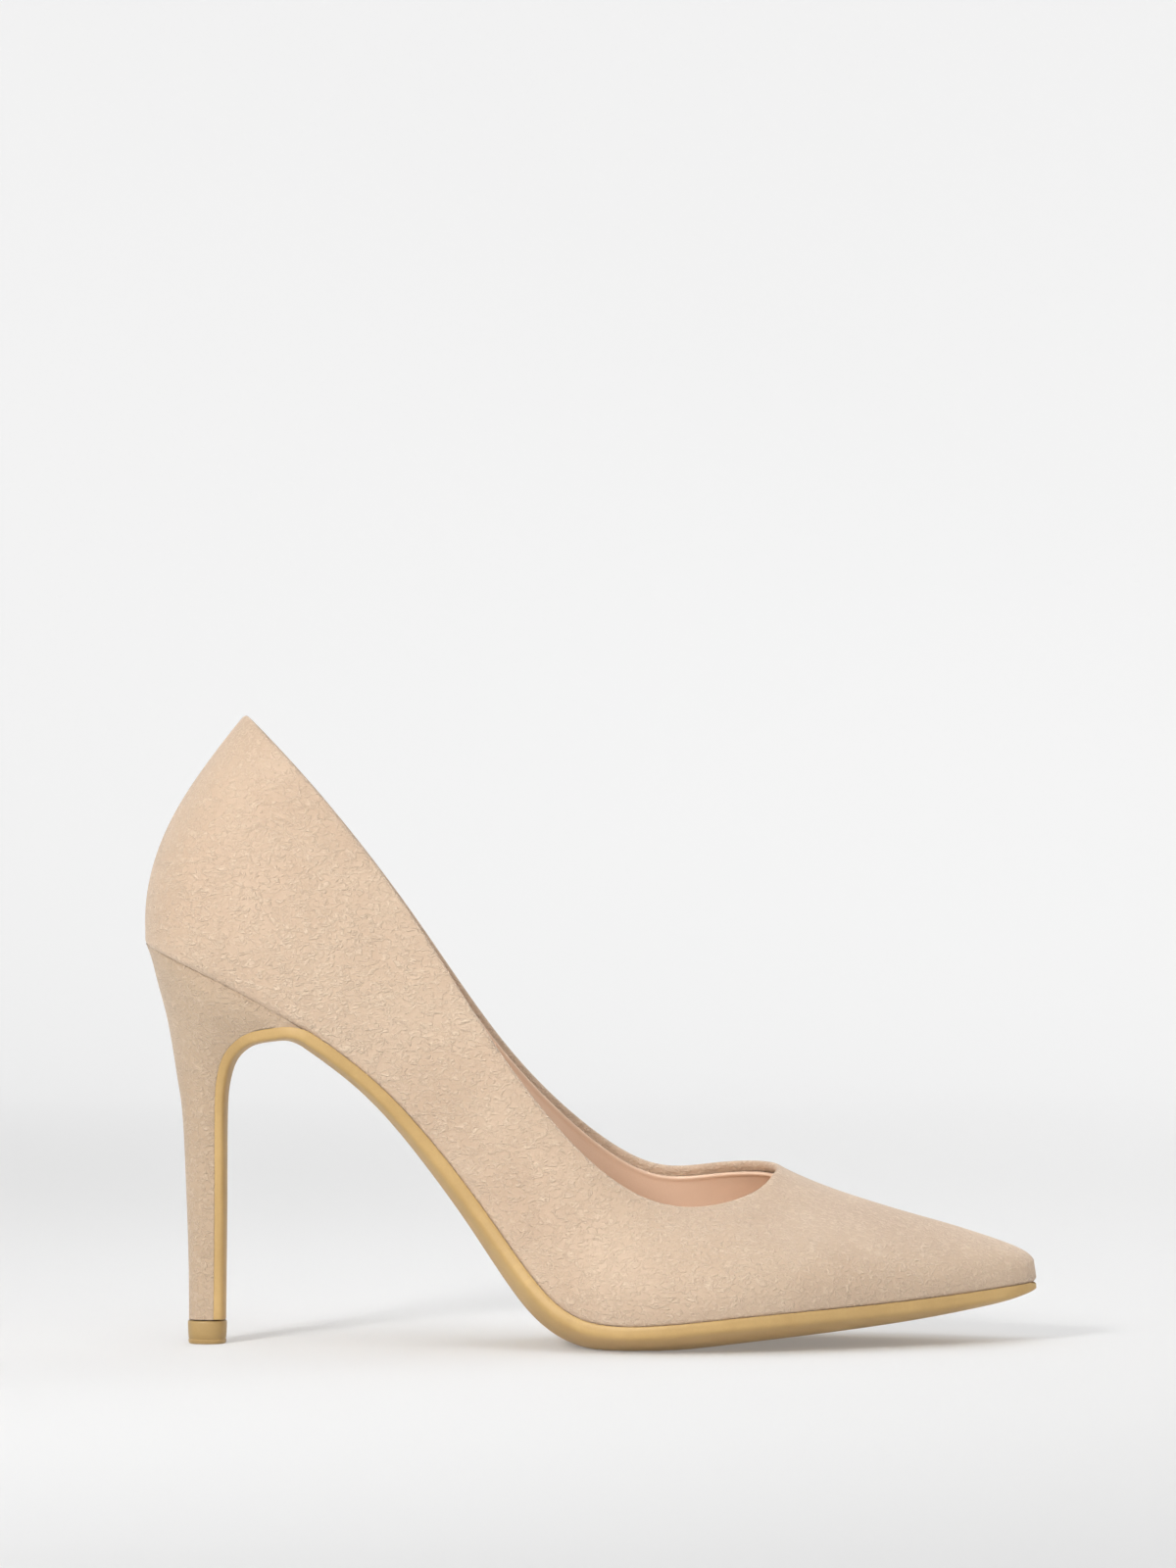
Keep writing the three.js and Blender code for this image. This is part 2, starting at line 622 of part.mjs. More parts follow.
// ---------------------------------------------------------------- sole
// The sole is one moulding: under the forepart and waist, round the arch and down the breast.
const SOLE_COLUMNS = 10;
const SOLE_START = 1;          // from the heel seat to the first full section of the sole
const CROWN = 3;              // how late the underside rounds up to the edge
const crown = (cross) => 1 - Math.abs(2 * cross - 1) ** CROWN;

function soleRow(turn) {
  const left = outlinePlace(turn, -SOLE_OVERHANG);
  const right = outlinePlace(1 - turn, -SOLE_OVERHANG);
  const row = { a: [], b: [] };
  steps(SOLE_COLUMNS).forEach((cross) => {
    const eased = ease(cross);
    const place = over(lerp(left[0], right[0], eased), lerp(left[1], right[1], eased), 0);
    const edge = Math.min(SOLE_EDGE, place.thick * EDGE_SHARE);
    const under = stepAlong(place.point, [place.up, -lerp(edge, place.thick, crown(eased))]);
    under.z = Math.max(under.z, 0);
    row.a.push(place.point);
    row.b.push(under);
  });
  return row;
}

function breastRows() {
  const path = heelRows.map((row) => row.front);
  return path.map((point, i) => {
    const before = i === 0 ? over(seatFront, 0, 0).point : path[i - 1];
    const after = path[Math.min(i + 1, path.length - 1)];
    const run = after.clone().sub(before).normalize();
    const out = vector(-run.z, 0, run.x);
    const row = { a: [], b: [] };
    steps(SOLE_COLUMNS).forEach((cross) => {
      const eased = ease(cross);
      const side = vector(0, lerp(-1, 1, eased) * heelRows[i].half, 0);
      const thick = lerp(BREAST_THICKNESS * EDGE_SHARE, BREAST_THICKNESS, crown(eased));
      const top = stepAlong(point.clone().add(side), [out, CLEARANCE]);
      row.a.push(top);
      row.b.push(stepAlong(top, [out, thick]));
    });
    return row;
  });
}

function outsole() {
  const forward = turnsBetween(turnAt(SEAT_FRONT_X + SOLE_START), 0.5).reverse();
  return sheet([...forward.map(soleRow), ...breastRows()]);
}

// ---------------------------------------------------------------- heel tip
const tipRow = heelRows[heelRows.length - 1];
const TIP_SEGMENTS = 20;
const TIP_LEVELS = [          // height and inset: rounded below, eased under the heel
  [0, 0.6], [0.7, 0.15], [TIP_HEIGHT - 0.5, 0], [TIP_HEIGHT, 0.3],
];
function topPiece() {
  const turns = steps(TIP_SEGMENTS).map((share) => 2 * Math.PI * share).slice(0, -1);
  const from = tipRow.back.x - TIP_OVERHANG;
  const to = tipRow.front.x + CLEARANCE + BREAST_THICKNESS + TIP_OVERHANG;
  const middle = (from + to) / 2;
  const loop = (z, inset) => turns.map((angle) => {
    const power = 2 / HEEL_FULLNESS;
    const round = (value) => Math.sign(value) * Math.abs(value) ** power;
    return vector(
      middle + round(Math.cos(angle)) * ((to - from) / 2 - inset),
      round(Math.sin(angle)) * (tipRow.half + TIP_OVERHANG - inset),
      z,
    );
  });
  const half = TIP_SEGMENTS / 2;
  return sheet(TIP_LEVELS.map(([z, inset]) => {
    const ring = loop(z, inset);
    return { a: ring.slice(0, half + 1), b: [ring[0], ...ring.slice(half).reverse()] };
  }));
}

// ---------------------------------------------------------------- materials
const finish = (color, roughness, metalness = 0) => new THREE.MeshStandardMaterial({
  color, roughness, metalness,
});
const suede = finish('#dcc3a6', 0.95);
const liningLeather = finish('#cba583', 0.55);
const goldSole = finish('#c3a06a', 0.42);
const fibreboard = finish('#9a8468', 0.9);
const puffSheet = finish('#d9d3c6', 0.85);
const foam = finish('#e6ddcc', 0.95);
const cork = finish('#8a6b4c', 0.9);
const steel = finish('#8d9196', 0.35, 1);
const moulding = finish('#e8e4da', 0.5);
const tipPlastic = finish('#b99b67', 0.4);

const shoe = new THREE.Group();
function add(name, geometry, material) {
  const mesh = new THREE.Mesh(geometry, material);
  mesh.name = name;
  shoe.add(mesh);
}

// ---------------------------------------------------------------- upper and its layers
const LINING_SEAM = 0.18;     // the two linings meet at this turn on each side
const SEAM_GAP = 0.0012;
add('upper', sheet(TURNS.slice(0, -1).map(upperRow), true), suede);
add('vamp_lining', sheet(
  turnsBetween(LINING_SEAM + SEAM_GAP, 1 - LINING_SEAM - SEAM_GAP).map(liningRow),
), liningLeather);
add('quarter_lining', sheet(
  turnsBetween(-LINING_SEAM + SEAM_GAP, LINING_SEAM - SEAM_GAP).map(liningRow),
), liningLeather);

const PUFF_REACH = 0.115;
const PUFF_HEIGHT = 0.5;
const COUNTER_REACH = 0.165;
const COUNTER_HEIGHT = 0.74;
const ARCH_POWER = 0.7;       // less than 1 makes the arch fuller
const END_HEIGHTS = { puff: 0.3, counter: 0.35 };
const arched = (step, low, high) => (
  lerp(low, high, Math.max(Math.sin(Math.PI * step), 0) ** ARCH_POWER)
);
add('toe_puff', sheet(
  turnsBetween(0.5 - PUFF_REACH, 0.5 + PUFF_REACH).map((turn) => stiffenerRow(
    turn, arched((turn - 0.5 + PUFF_REACH) / (2 * PUFF_REACH), END_HEIGHTS.puff, PUFF_HEIGHT),
  )),
), puffSheet);
add('heel_counter', sheet(
  turnsBetween(-COUNTER_REACH, COUNTER_REACH).map((turn) => stiffenerRow(
    turn, arched((turn + COUNTER_REACH) / (2 * COUNTER_REACH), END_HEIGHTS.counter, COUNTER_HEIGHT),
  )),
), puffSheet);

// ---------------------------------------------------------------- fasteners and their holes
const HOLE_REACH = 3;         // how far a drilled hole runs past the face it enters
const HEAD_TOP = 0.35;        // fastener heads end this far below the top of the board
const BORE = CLEARANCE * 0.6; // a fastener's hole is this much larger all round

function fastener([along, across], radius, headRadius, length) {
  const seat = over(along, across, LAST_ABOVE);
  const down = seat.up.clone().negate();
  const top = stepAlong(seat.point, [down, HEAD_TOP]);
  const profile = [
    [0, 0], [headRadius, 0], [headRadius, HEAD_HEIGHT], [radius, HEAD_HEIGHT], [radius, length], [0, length],
  ];
  const grown = profile.map(([r, height]) => [
    r > 0 ? r + BORE : 0,
    height === 0 ? -HOLE_REACH : height + BORE,
  ]);
  return {
    body: turned(profile, top, down),
    hole: turned(grown, top, down),
    end: stepAlong(top, [down, length]),
  };
}

const screw = fastener([alongAt(gradeX(SCREW_X)), 0], SCREW_RADIUS, SCREW_RADIUS * SCREW_HEAD, SCREW_LENGTH);
const nailPull = (LASTING_MARGIN + 2 * NAIL_RADIUS + 2 * CLEARANCE) / LASTING_MARGIN;
const nails = NAIL_TURNS.map((turn) => fastener(
  marginPlace(turn, nailPull), NAIL_RADIUS, NAIL_RADIUS * NAIL_HEAD, NAIL_LENGTH,
));
const rivetLength = BOARD_THICKNESS + CLEARANCE + SHANK_THICKNESS - HEAD_TOP;
const [rivetRear, rivetFront] = RIVETS.map(
  (x) => fastener(middlePlace(turnAt(x)), RIVET_RADIUS, RIVET_RADIUS * RIVET_HEAD, rivetLength),
);
const allHoles = [screw, ...nails, rivetRear, rivetFront].map((piece) => piece.hole);

// ---------------------------------------------------------------- bottom
const BOARD_COLUMNS = 4;
add('insole_board', drilled(
  plate({
    from: 0, to: 0.5, columns: BOARD_COLUMNS, inset: CLEARANCE, low: BOARD_LOW, high: LAST_ABOVE,
  }),
  allHoles,
), fibreboard);

const shankTop = BOARD_LOW - CLEARANCE;
const SHANK_COLUMNS = [-1, -0.35, 0, 0.35, 1];
const shankTurns = [SHANK_FROM, SHANK_TO].map(stationAt);
function shankRow(turn) {
  const [from, to] = shankTurns;
  const share = clamp((turn - from) / (to - from), 0, 1);
  const half = SHANK_WIDTH / 2 * lerp(SHANK_END_WIDTH, 1, hump(share));
  const ribbed = hump((share - RIB_STRETCH) / RIB_STRETCH);
  const [along, across] = middlePlace(turn);
  const line = (height) => SHANK_COLUMNS.map((side) => (
    over(along, across + side * half, height - (side === 0 ? SHANK_RIB * ribbed : 0)).point
  ));
  return { a: line(shankTop - SHANK_THICKNESS), b: line(shankTop) };
}
add('shank', drilled(
  sheet(turnsBetween(...shankTurns).map(shankRow)),
  [screw.hole, rivetRear.hole, rivetFront.hole],
), steel);
add('shank_rivet_rear', rivetRear.body, steel);
add('shank_rivet_front', rivetFront.body, steel);
add('bottom_filler', inlay({
  from: stationAt(FILLER_FROM), to: stationAt(FILLER_TO), low: CLEARANCE, high: CLEARANCE + FILLER_THICKNESS,
}), cork);
add('outsole', outsole(), goldSole);

// ---------------------------------------------------------------- sock and pads
// Each pad swells up from the board; the sock follows it one glue line above.
const PAD_EDGE = 0.7;
const PAD_INSET = 3;
const PAD_SLOPE = 0.02;       // how quickly, in turns, the sock settles back beside a pad
const SOCK_INSET = 0.5;
const PAD_COLUMNS = 6;
const SOCK_COLUMNS = 8;
const padBase = LAST_ABOVE + CLEARANCE;
const padTurns = [HEEL_PAD, FORE_PAD].map((range) => range.map(stationAt));
const swell = ([from, to], turn, cross) => (
  (PAD_THICKNESS - PAD_EDGE) * hump((turn - from) / (to - from)) * hump(cross)
);
const pad = (range) => plate({
  from: range[0],
  to: range[1],
  columns: PAD_COLUMNS,
  inset: PAD_INSET,
  low: padBase,
  high: (turn, cross) => padBase + PAD_EDGE + swell(range, turn, cross),
});
function sockLow(turn, cross) {
  const lifts = padTurns.map((range) => {
    const beside = Math.max(range[0] - turn, turn - range[1], 0);
    const settled = clamp(1 - (beside - PAD_SLOPE) / PAD_SLOPE, 0, 1);
    return settled * (PAD_EDGE + swell(range, clamp(turn, ...range), cross));
  });
  return padBase + CLEARANCE + Math.max(...lifts);
}
add('heel_pad', pad(padTurns[0]), foam);
add('forefoot_pad', pad(padTurns[1]), foam);
add('sock_liner', plate({
  from: 0,
  to: stationAt(SOCK_TO),
  columns: SOCK_COLUMNS,
  inset: SOCK_INSET,
  low: sockLow,
  high: (turn, cross) => sockLow(turn, cross) + SOCK_THICKNESS,
}), liningLeather);

// ---------------------------------------------------------------- heel and tip
const TUBE_PLACE = 0.55;       // share of the way from the heel's back to its breast
const coreFoot = tipRow.back.clone().lerp(tipRow.front, TUBE_PLACE);
const UPWARD = vector(0, 0, 1);
const tubeFoot = coreFoot.clone().setZ(tipRow.back.z + CLEARANCE);
const tubeLength = screw.end.z - TUBE_BELOW_SCREW - tubeFoot.z;
const tubeHole = rod(
  TUBE_RADIUS + CLEARANCE / 2,
  tubeLength + HOLE_REACH + CLEARANCE,
  stepAlong(tubeFoot, [UPWARD, -HOLE_REACH]),
  UPWARD,
  TUBE_ROUND,
);
add('heel_core', drilled(
  heelCore(),
  [screw.hole, ...nails.map((nail) => nail.hole), tubeHole],
), moulding);
add('heel_cover', heelCover(), suede);
add('heel_tube', turned(
  [
    [TUBE_RADIUS - TUBE_WALL, 0], [TUBE_RADIUS, 0], [TUBE_RADIUS, tubeLength],
    [TUBE_RADIUS - TUBE_WALL, tubeLength], [TUBE_RADIUS - TUBE_WALL, 0],
  ],
  tubeFoot,
  UPWARD,
  TUBE_ROUND,
), steel);
add('heel_screw', screw.body, steel);
nails.forEach((nail, i) => add(`heel_nail_${i + 1}`, nail.body, steel));

const pinRadius = TUBE_RADIUS - TUBE_WALL - CLEARANCE / 2;
const pinFoot = coreFoot.clone().setZ(TIP_HEIGHT * PIN_SUNK);
add('top_piece', drilled(
  topPiece(),
  [rod(pinRadius + CLEARANCE / 2, TIP_HEIGHT, stepAlong(pinFoot, [UPWARD, -CLEARANCE / 2]), UPWARD)],
), tipPlastic);
add('top_piece_pin', rod(pinRadius, PIN_LENGTH, pinFoot, UPWARD), steel);

// ---------------------------------------------------------------- frame
// The origin is under the middle of the shoe, on the floor.
const box = new THREE.Box3().setFromObject(shoe);
const centre = box.getCenter(vector());
shoe.position.set(-centre.x, -centre.y, -box.min.z);
const part = new THREE.Group();
part.add(shoe);
export default part;
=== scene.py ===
# %% [markdown]
# # A high heel pump, built as a lesson
# The shoe is a court shoe: a pointed suede upper pulled over a last, a covered stiletto heel and
# one moulded sole that runs from the toe, round the arch and down the front of the heel.
# A packed engineering model gives the fixed frame. This script dresses that frame: it keeps the
# hidden pieces as they are and replaces the visible ones by fine, smooth surfaces.

import math

import bmesh
import bpy
import numpy as np
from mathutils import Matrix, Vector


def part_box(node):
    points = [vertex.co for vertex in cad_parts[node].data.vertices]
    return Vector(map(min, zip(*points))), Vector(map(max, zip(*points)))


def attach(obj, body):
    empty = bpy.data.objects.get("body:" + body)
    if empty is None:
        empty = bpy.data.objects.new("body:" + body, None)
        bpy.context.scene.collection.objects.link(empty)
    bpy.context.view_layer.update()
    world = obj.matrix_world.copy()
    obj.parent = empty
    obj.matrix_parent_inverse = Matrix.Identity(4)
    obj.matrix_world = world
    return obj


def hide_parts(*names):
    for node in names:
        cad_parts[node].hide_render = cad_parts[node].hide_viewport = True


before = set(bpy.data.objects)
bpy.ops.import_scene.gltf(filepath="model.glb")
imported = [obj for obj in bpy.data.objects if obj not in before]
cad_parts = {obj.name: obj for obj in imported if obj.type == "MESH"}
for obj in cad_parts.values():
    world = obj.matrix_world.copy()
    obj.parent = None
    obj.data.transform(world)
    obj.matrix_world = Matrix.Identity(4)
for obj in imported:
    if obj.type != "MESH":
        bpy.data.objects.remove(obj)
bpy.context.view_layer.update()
print("frame nodes:", len(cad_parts))

# %% [markdown]
# ## The drawing of the last
# A shoe is drawn on a last, the solid foot shape that it is made on. Every visible layer is a
# small offset of it, so the last comes first. It could be sculpted, but a shoemaker's drawing is
# simpler to read: a bottom line seen from the side, and ribs that climb from the edge of the foot
# to the topline. The rows below are that drawing in millimetres, measured from the heel curve.

# %% Bottom line, ribs and heel sections
# the widths below are those of a slimmer sample shoe, graded up to this ball
BALL_WIDTH = 74.0
SAMPLE_WIDTH = 71.5
WIDTH_GRADE = BALL_WIDTH / SAMPLE_WIDTH

# x, z and how thick the sole is under that place
BOTTOM = [
    (0.5, 98.1, 3.0), (19.8, 88.9, 3.0), (38.2, 78.6, 3.9), (56.1, 65.3, 4.1),
    (71.0, 49.4, 4.6), (84.0, 32.5, 5.1), (95.2, 17.2, 5.8), (107.0, 7.6, 6.8),
    (124.0, 6.1, 7.3), (146.0, 8.1, 7.2), (170.0, 9.8, 6.3), (195.0, 11.6, 4.7),
    (220.5, 14.2, 2.2),
]

# foot x, y | top x, y, z | length and outward lean of the start | tilt and reach of the end
RIBS = [
    (1.0, 0, 26.9, 0, 153.4, 20, 27, 14, 0.38),
    (6.4, -14.5, 31.0, -9.5, 148.6, 19, 22, 14, 0.36),
    (27.4, -21, 44.3, -16, 133.6, 15, 18, 14, 0.3),
    (52.4, -19.5, 66, -20, 105.6, 11, 18, 14, 0.3),
    (75.6, -18.5, 89, -22, 70.9, 9, 20, 14, 0.3),
    (95.9, -25, 110.5, -23, 44.8, 9, 20, 14, 0.3),
    (122.5, -34.5, 127.5, -21.6, 34.2, 9, 18, 16, 0.32),
    (152.4, -33, 140.5, -16.8, 33.4, 9, 16, 12, 0.3),
    (182.3, -20, 149.8, -9.5, 36.6, 8, 14, 0, 0.25),
    (205.7, -7, 153.6, -2.6, 40.2, 5.8, 10, -16, 0.18),
    (217.5, 3.5, 154.6, 3.5, 41.4, 4.6, 11, -23, 0.17),
    (206.7, 13.5, 153.5, 8.8, 42.0, 5.8, 10, -16, 0.18),
    (184.3, 23, 149.2, 14, 42.4, 8, 12, -2, 0.25),
    (156.4, 29, 139.5, 19.5, 41.8, 9, 13, 12, 0.32),
    (126.5, 26.5, 126.5, 22.2, 42.0, 9, 16, 16, 0.32),
    (97.2, 16.5, 110.5, 23, 51.4, 9, 26, 14, 0.3),
    (75.6, 12.5, 89, 22, 73.0, 9, 28, 14, 0.3),
    (52.4, 17.5, 66, 20, 104.3, 11, 20, 14, 0.3),
    (27.4, 21, 44.3, 16, 132.2, 15, 18, 14, 0.3),
    (6.4, 14.5, 31.0, 9.5, 148.0, 19, 22, 14, 0.36),
]

# heel sections from the seat to the tip: back x, z | breast x, z | half width
HEEL = [
    (1.6, 94.6, 33.0, 78.6, 21.4), (3.3, 88.0, 26.9, 77.4, 18.4), (5.2, 80.8, 22.6, 74.9, 14.8),
    (6.9, 71.5, 19.4, 70.8, 11.0), (8.0, 64.4, 17.8, 65.0, 8.6), (9.1, 56.0, 17.3, 57.0, 7.1),
    (9.9, 40.0, 17.2, 40.0, 5.8), (10.45, 25.0, 17.1, 25.0, 5.2), (10.65, 14.0, 17.0, 14.0, 4.9),
    (10.65, 6.1, 16.9, 6.1, 4.7),
]
print("drawing:", len(BOTTOM), "line points,", len(RIBS), "ribs,", len(HEEL), "heel sections")

# %% [markdown]
# ## Smooth curves through few points
# A drawing has few points and a shoe has no corners. Blender's own curve objects would do, but
# the layers need the curve at any place, so a cubic B-spline is written out: its control rows are
# relaxed until the curve passes through the drawn rows.

# %% Splines
RELAXING_PASSES = 80


def spline(rows, closed):
    """A function of a share (0 to 1) that gives the smooth row there."""
    rows = np.array(rows, float)
    control = rows.copy()
    for _ in range(RELAXING_PASSES):
        control = 1.5 * rows - 0.25 * (np.roll(control, 1, 0) + np.roll(control, -1, 0))
        if not closed:
            control[[0, -1]] = rows[[0, -1]]
    if closed:
        padded = np.concatenate([control[-1:], control, control[:2]])
        spans = len(rows)
    else:
        before = 2 * control[:1] - control[1:2]
        after = 2 * control[-1:] - control[-2:-1]
        padded = np.concatenate([before, control, after])
        spans = len(rows) - 1

    def at(share):
        share = np.asarray(share, float)
        place = (share % 1 if closed else np.clip(share, 0, 1)) * spans
        first = np.minimum(place.astype(int), spans - 1)
        f = (place - first)[..., None]
        weights = [
            (1 - f) ** 3 / 6,
            (3 * f**3 - 6 * f**2 + 4) / 6,
            (-3 * f**3 + 3 * f**2 + 3 * f + 1) / 6,
            f**3 / 6,
        ]
        return sum(weight * padded[first + k] for k, weight in enumerate(weights))

    return at


def unit(vectors):
    return vectors / np.maximum(np.linalg.norm(vectors, axis=-1, keepdims=True), 1e-12)


def mix(a, b, share):
    return a + (b - a) * share


def ease(share):
    """Crowds even steps towards both ends."""
    return 0.5 - 0.5 * np.cos(np.pi * share)


middle_row = spline([(0, 0), (1, 2), (4, 3)], False)(0.5)
print("a spline meets its middle row (1, 2) at", middle_row.round(3))

# %% [markdown]
# ## The bottom line as a bent strip
# The underside of a shoe is a flat strip bent along the bottom line. Places on it are given the
# way a pattern cutter gives them: how far along, how far across, and how far above the strip.
# One function bends them into space, so flat patterns stay flat until they are placed.

# %% Places over the bottom line
LINE_SAMPLES = 1201
SLOPE_STEP = 0.6

line = spline(BOTTOM, False)(np.linspace(0, 1, LINE_SAMPLES))
line_along = np.concatenate([[0], np.cumsum(np.hypot(*np.diff(line[:, :2], axis=0).T))])
start_slope = (line[1] - line[0]) / (line_along[1] - line_along[0])
end_slope = (line[-1] - line[-2]) / (line_along[-1] - line_along[-2])


def line_at(along):
    """x, z and sole thickness; past either end the line runs straight on."""
    inside = np.stack([np.interp(along, line_along, line[:, k]) for k in range(3)], -1)
    before = np.minimum(along, 0)[..., None] * start_slope
    after = np.maximum(along - line_along[-1], 0)[..., None] * end_slope
    return inside + before + after


def along_at(x):
    return np.interp(x, line[:, 0], line_along)


def over(along, across, above):
    """The point, the forward direction and the upward direction at a place over the line."""
    along, across, above = np.broadcast_arrays(
        *(np.asarray(value, float) for value in (along, across, above))
    )
    here = line_at(along)
    ahead = line_at(along + SLOPE_STEP) - line_at(along - SLOPE_STEP)
    size = np.hypot(ahead[..., 0], ahead[..., 1])
    forward = np.stack([ahead[..., 0] / size, 0 * size, ahead[..., 1] / size], -1)
    up = np.stack([-forward[..., 2], 0 * size, forward[..., 0]], -1)
    point = np.stack([here[..., 0], across, here[..., 1]], -1) + above[..., None] * up
    return point, forward, up


print("bottom line:", round(float(line_along[-1]), 1), "mm long")

# %% [markdown]
# ## The side of the last
# Each rib is a cubic curve from the foot's edge to the topline. A turn goes once round the shoe
# (0 at the heel, 0.25 on the outer side, 0.5 at the toe) and a climb goes up a rib. Moving a
# point outwards along the surface's normal gives the skin of any layer, as thick as leather is.

# %% Ribs and offsets
# thickness of each layer in millimetres
GLUE = 0.3
LEATHER = 1.0
LINING = 0.7
STIFFENER = 0.7
BOARD = 2.0
BOARD_TOP = GLUE + LEATHER + GLUE + LINING + GLUE + BOARD
BOARD_LOW = BOARD_TOP - BOARD
# how far the inner face of the suede lies outside the last
UPPER_OUT = LINING + GLUE + STIFFENER + GLUE
# steps for measuring directions on the ribs
SMALL_TURN = 1e-4
SMALL_CLIMB = 1e-3

rib_rows = [
    (along_at(x), y * WIDTH_GRADE, tx, ty * WIDTH_GRADE, tz, *shape)
    for x, y, tx, ty, tz, *shape in RIBS
]
rib_curve = spline(rib_rows, True)


def rib_run(turn):
    return rib_curve(turn + SMALL_TURN) - rib_curve(turn - SMALL_TURN)


def outline(turn, outset=0.0):
    """Along and across of the foot's edge, moved outwards in the flat pattern."""
    row, run = rib_curve(turn), rib_run(turn)
    size = np.hypot(run[..., 0], run[..., 1])
    return row[..., 0] + run[..., 1] / size * outset, row[..., 1] - run[..., 0] / size * outset


def foot_at(turn, above):
    """A point on the foot's edge, with the outward and upward directions there."""
    row, run = rib_curve(turn), rib_run(turn)
    size = np.hypot(run[..., 0], run[..., 1])
    point, forward, up = over(row[..., 0], row[..., 1], above)
    sideways = np.zeros_like(forward)
    sideways[..., 1] = 1
    out = forward * (run[..., 1] / size)[..., None] - sideways * (run[..., 0] / size)[..., None]
    return point, out, up


def rib_points(turn):
    """The four control points of the ribs at these turns."""
    row = rib_curve(turn)
    rise, lean, tilt, reach = (row[..., k, None] for k in (5, 6, 7, 8))
    lean, tilt = np.radians(lean), np.radians(tilt)
    foot, out, up = foot_at(turn, BOARD_TOP)
    top = row[..., 2:5]
    chord = foot - top
    size = np.linalg.norm(chord, axis=-1, keepdims=True)
    chord = chord / size
    side = unit(np.cross(chord, rib_run(turn)[..., 2:5]))
    start = foot + rise * (np.cos(lean) * up + np.sin(lean) * out)
    end = top + reach * size * (np.cos(tilt) * chord + np.sin(tilt) * side)
    return foot, start, end, top


def rib_point(turn, climb):
    foot, start, end, top = rib_points(turn)
    c, d = climb[..., None], 1 - climb[..., None]
    return d**3 * foot + 3 * d**2 * c * start + 3 * d * c**2 * end + c**3 * top


def side_at(turn, climb, outset=0.0):
    """A point on the side of the last moved outwards, with its outward and climbing directions."""
    turn, climb, outset = np.broadcast_arrays(
        *(np.asarray(value, float) for value in (turn, climb, outset))
    )
    run = rib_point(turn + SMALL_TURN, climb) - rib_point(turn - SMALL_TURN, climb)
    high = rib_point(turn, np.minimum(climb + SMALL_CLIMB, 1))
    rise = high - rib_point(turn, np.maximum(climb - SMALL_CLIMB, 0))
    out = unit(np.cross(run, rise))
    return rib_point(turn, climb) + outset[..., None] * out, out, unit(rise)


def climb_below(turn, distance):
    """The climb that lies this far below the topline."""
    _, _, end, top = rib_points(turn)
    # at its end a cubic curve runs three times the length of its last leg
    return 1 - distance / (3 * np.linalg.norm(top - end, axis=-1))


heel_rim = rib_point(np.array(0.0), np.array(1.0))
print("topline height at the back:", round(float(heel_rim[2]), 1), "mm")

# %% [markdown]
# ## From numbers to a mesh
# Every piece of a shoe is a sheet with two faces and an edge: leather, board, sole. A solidify
# modifier could thicken a single surface, but edges would then be square. So one helper skins two
# matching grids of points, near and far, and closes all their edges. The pieces land in the
# frame by one shift, taken from the heel tip of the frame.

# %% The skinning helper
MM = 0.001
# the heel tip stands this far behind the heel, in millimetres
TIP_OVERHANG = 0.25
# points closer than this, in metres, become one
WELD = 2e-6
SHARP_ANGLE = math.radians(48)

tip_low, tip_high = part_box("top_piece")
tip_back = tip_low.x / MM + TIP_OVERHANG
to_frame = np.array([tip_back - HEEL[-1][0], (tip_low.y + tip_high.y) / 2 / MM, 0])
print("shift into the frame:", to_frame.round(2), "mm")


def skin(name, near, far, ring=False):
    """A closed body between two grids of points (stations, points, 3) in millimetres."""
    stations, points = near.shape[:2]
    grid = np.stack([near, far], 1).reshape(-1, 3)
    number = np.arange(stations * 2 * points).reshape(stations, 2, points)
    if ring:
        number = np.concatenate([number, number[:1]])
    loop = np.concatenate([number[:, 0], number[:, 1, ::-1], number[:, 0, :1]], axis=1)
    corners = [loop[:-1, :-1], loop[1:, :-1], loop[1:, 1:], loop[:-1, 1:]]
    faces = np.stack([corner.ravel() for corner in corners], -1).tolist()
    for row in () if ring else (0, -1):
        # where both sides of an end meet, the faces beside it already close it
        if np.linalg.norm(far[row, 0] - far[row, -1]) * MM > WELD:
            end = number[row]
            strip = [end[0, :-1], end[0, 1:], end[1, 1:], end[1, :-1]]
            faces += np.stack(strip, -1).tolist()
    mesh = bpy.data.meshes.new(name)
    mesh.from_pydata(((grid + to_frame) * MM).tolist(), [], faces)
    work = bmesh.new()
    work.from_mesh(mesh)
    bmesh.ops.remove_doubles(work, verts=work.verts, dist=WELD)
    bmesh.ops.dissolve_degenerate(work, edges=work.edges, dist=WELD)
    bmesh.ops.recalc_face_normals(work, faces=work.faces)
    work.to_mesh(mesh)
    work.free()
    mesh.shade_smooth()
    mesh.set_sharp_from_angle(angle=SHARP_ANGLE)
    made = bpy.data.objects.new(name, mesh)
    bpy.context.scene.collection.objects.link(made)
    print(f"{name}: {len(mesh.polygons)} faces")
    return made


def dress(piece, slot, material, *nodes):
    """Paints a piece, rides it on the shoe and lets it stand for its nodes of the frame."""
    piece.data.materials.append(material)
    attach(piece, "root")
    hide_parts(*nodes)


# %% [markdown]
# ## The camera
# The shoe is shown from its outer side, level with the instep. A short lens near the shoe would
# swell the part that is nearest, so a long lens far away is used, which keeps proportions true.

# %% Camera
VIEW_DISTANCE = 1.7
VIEW_HEIGHT = 0.3872
CAMERA_Z = 0.138
CAMERA_X = -0.0004
SENSOR = 36.0

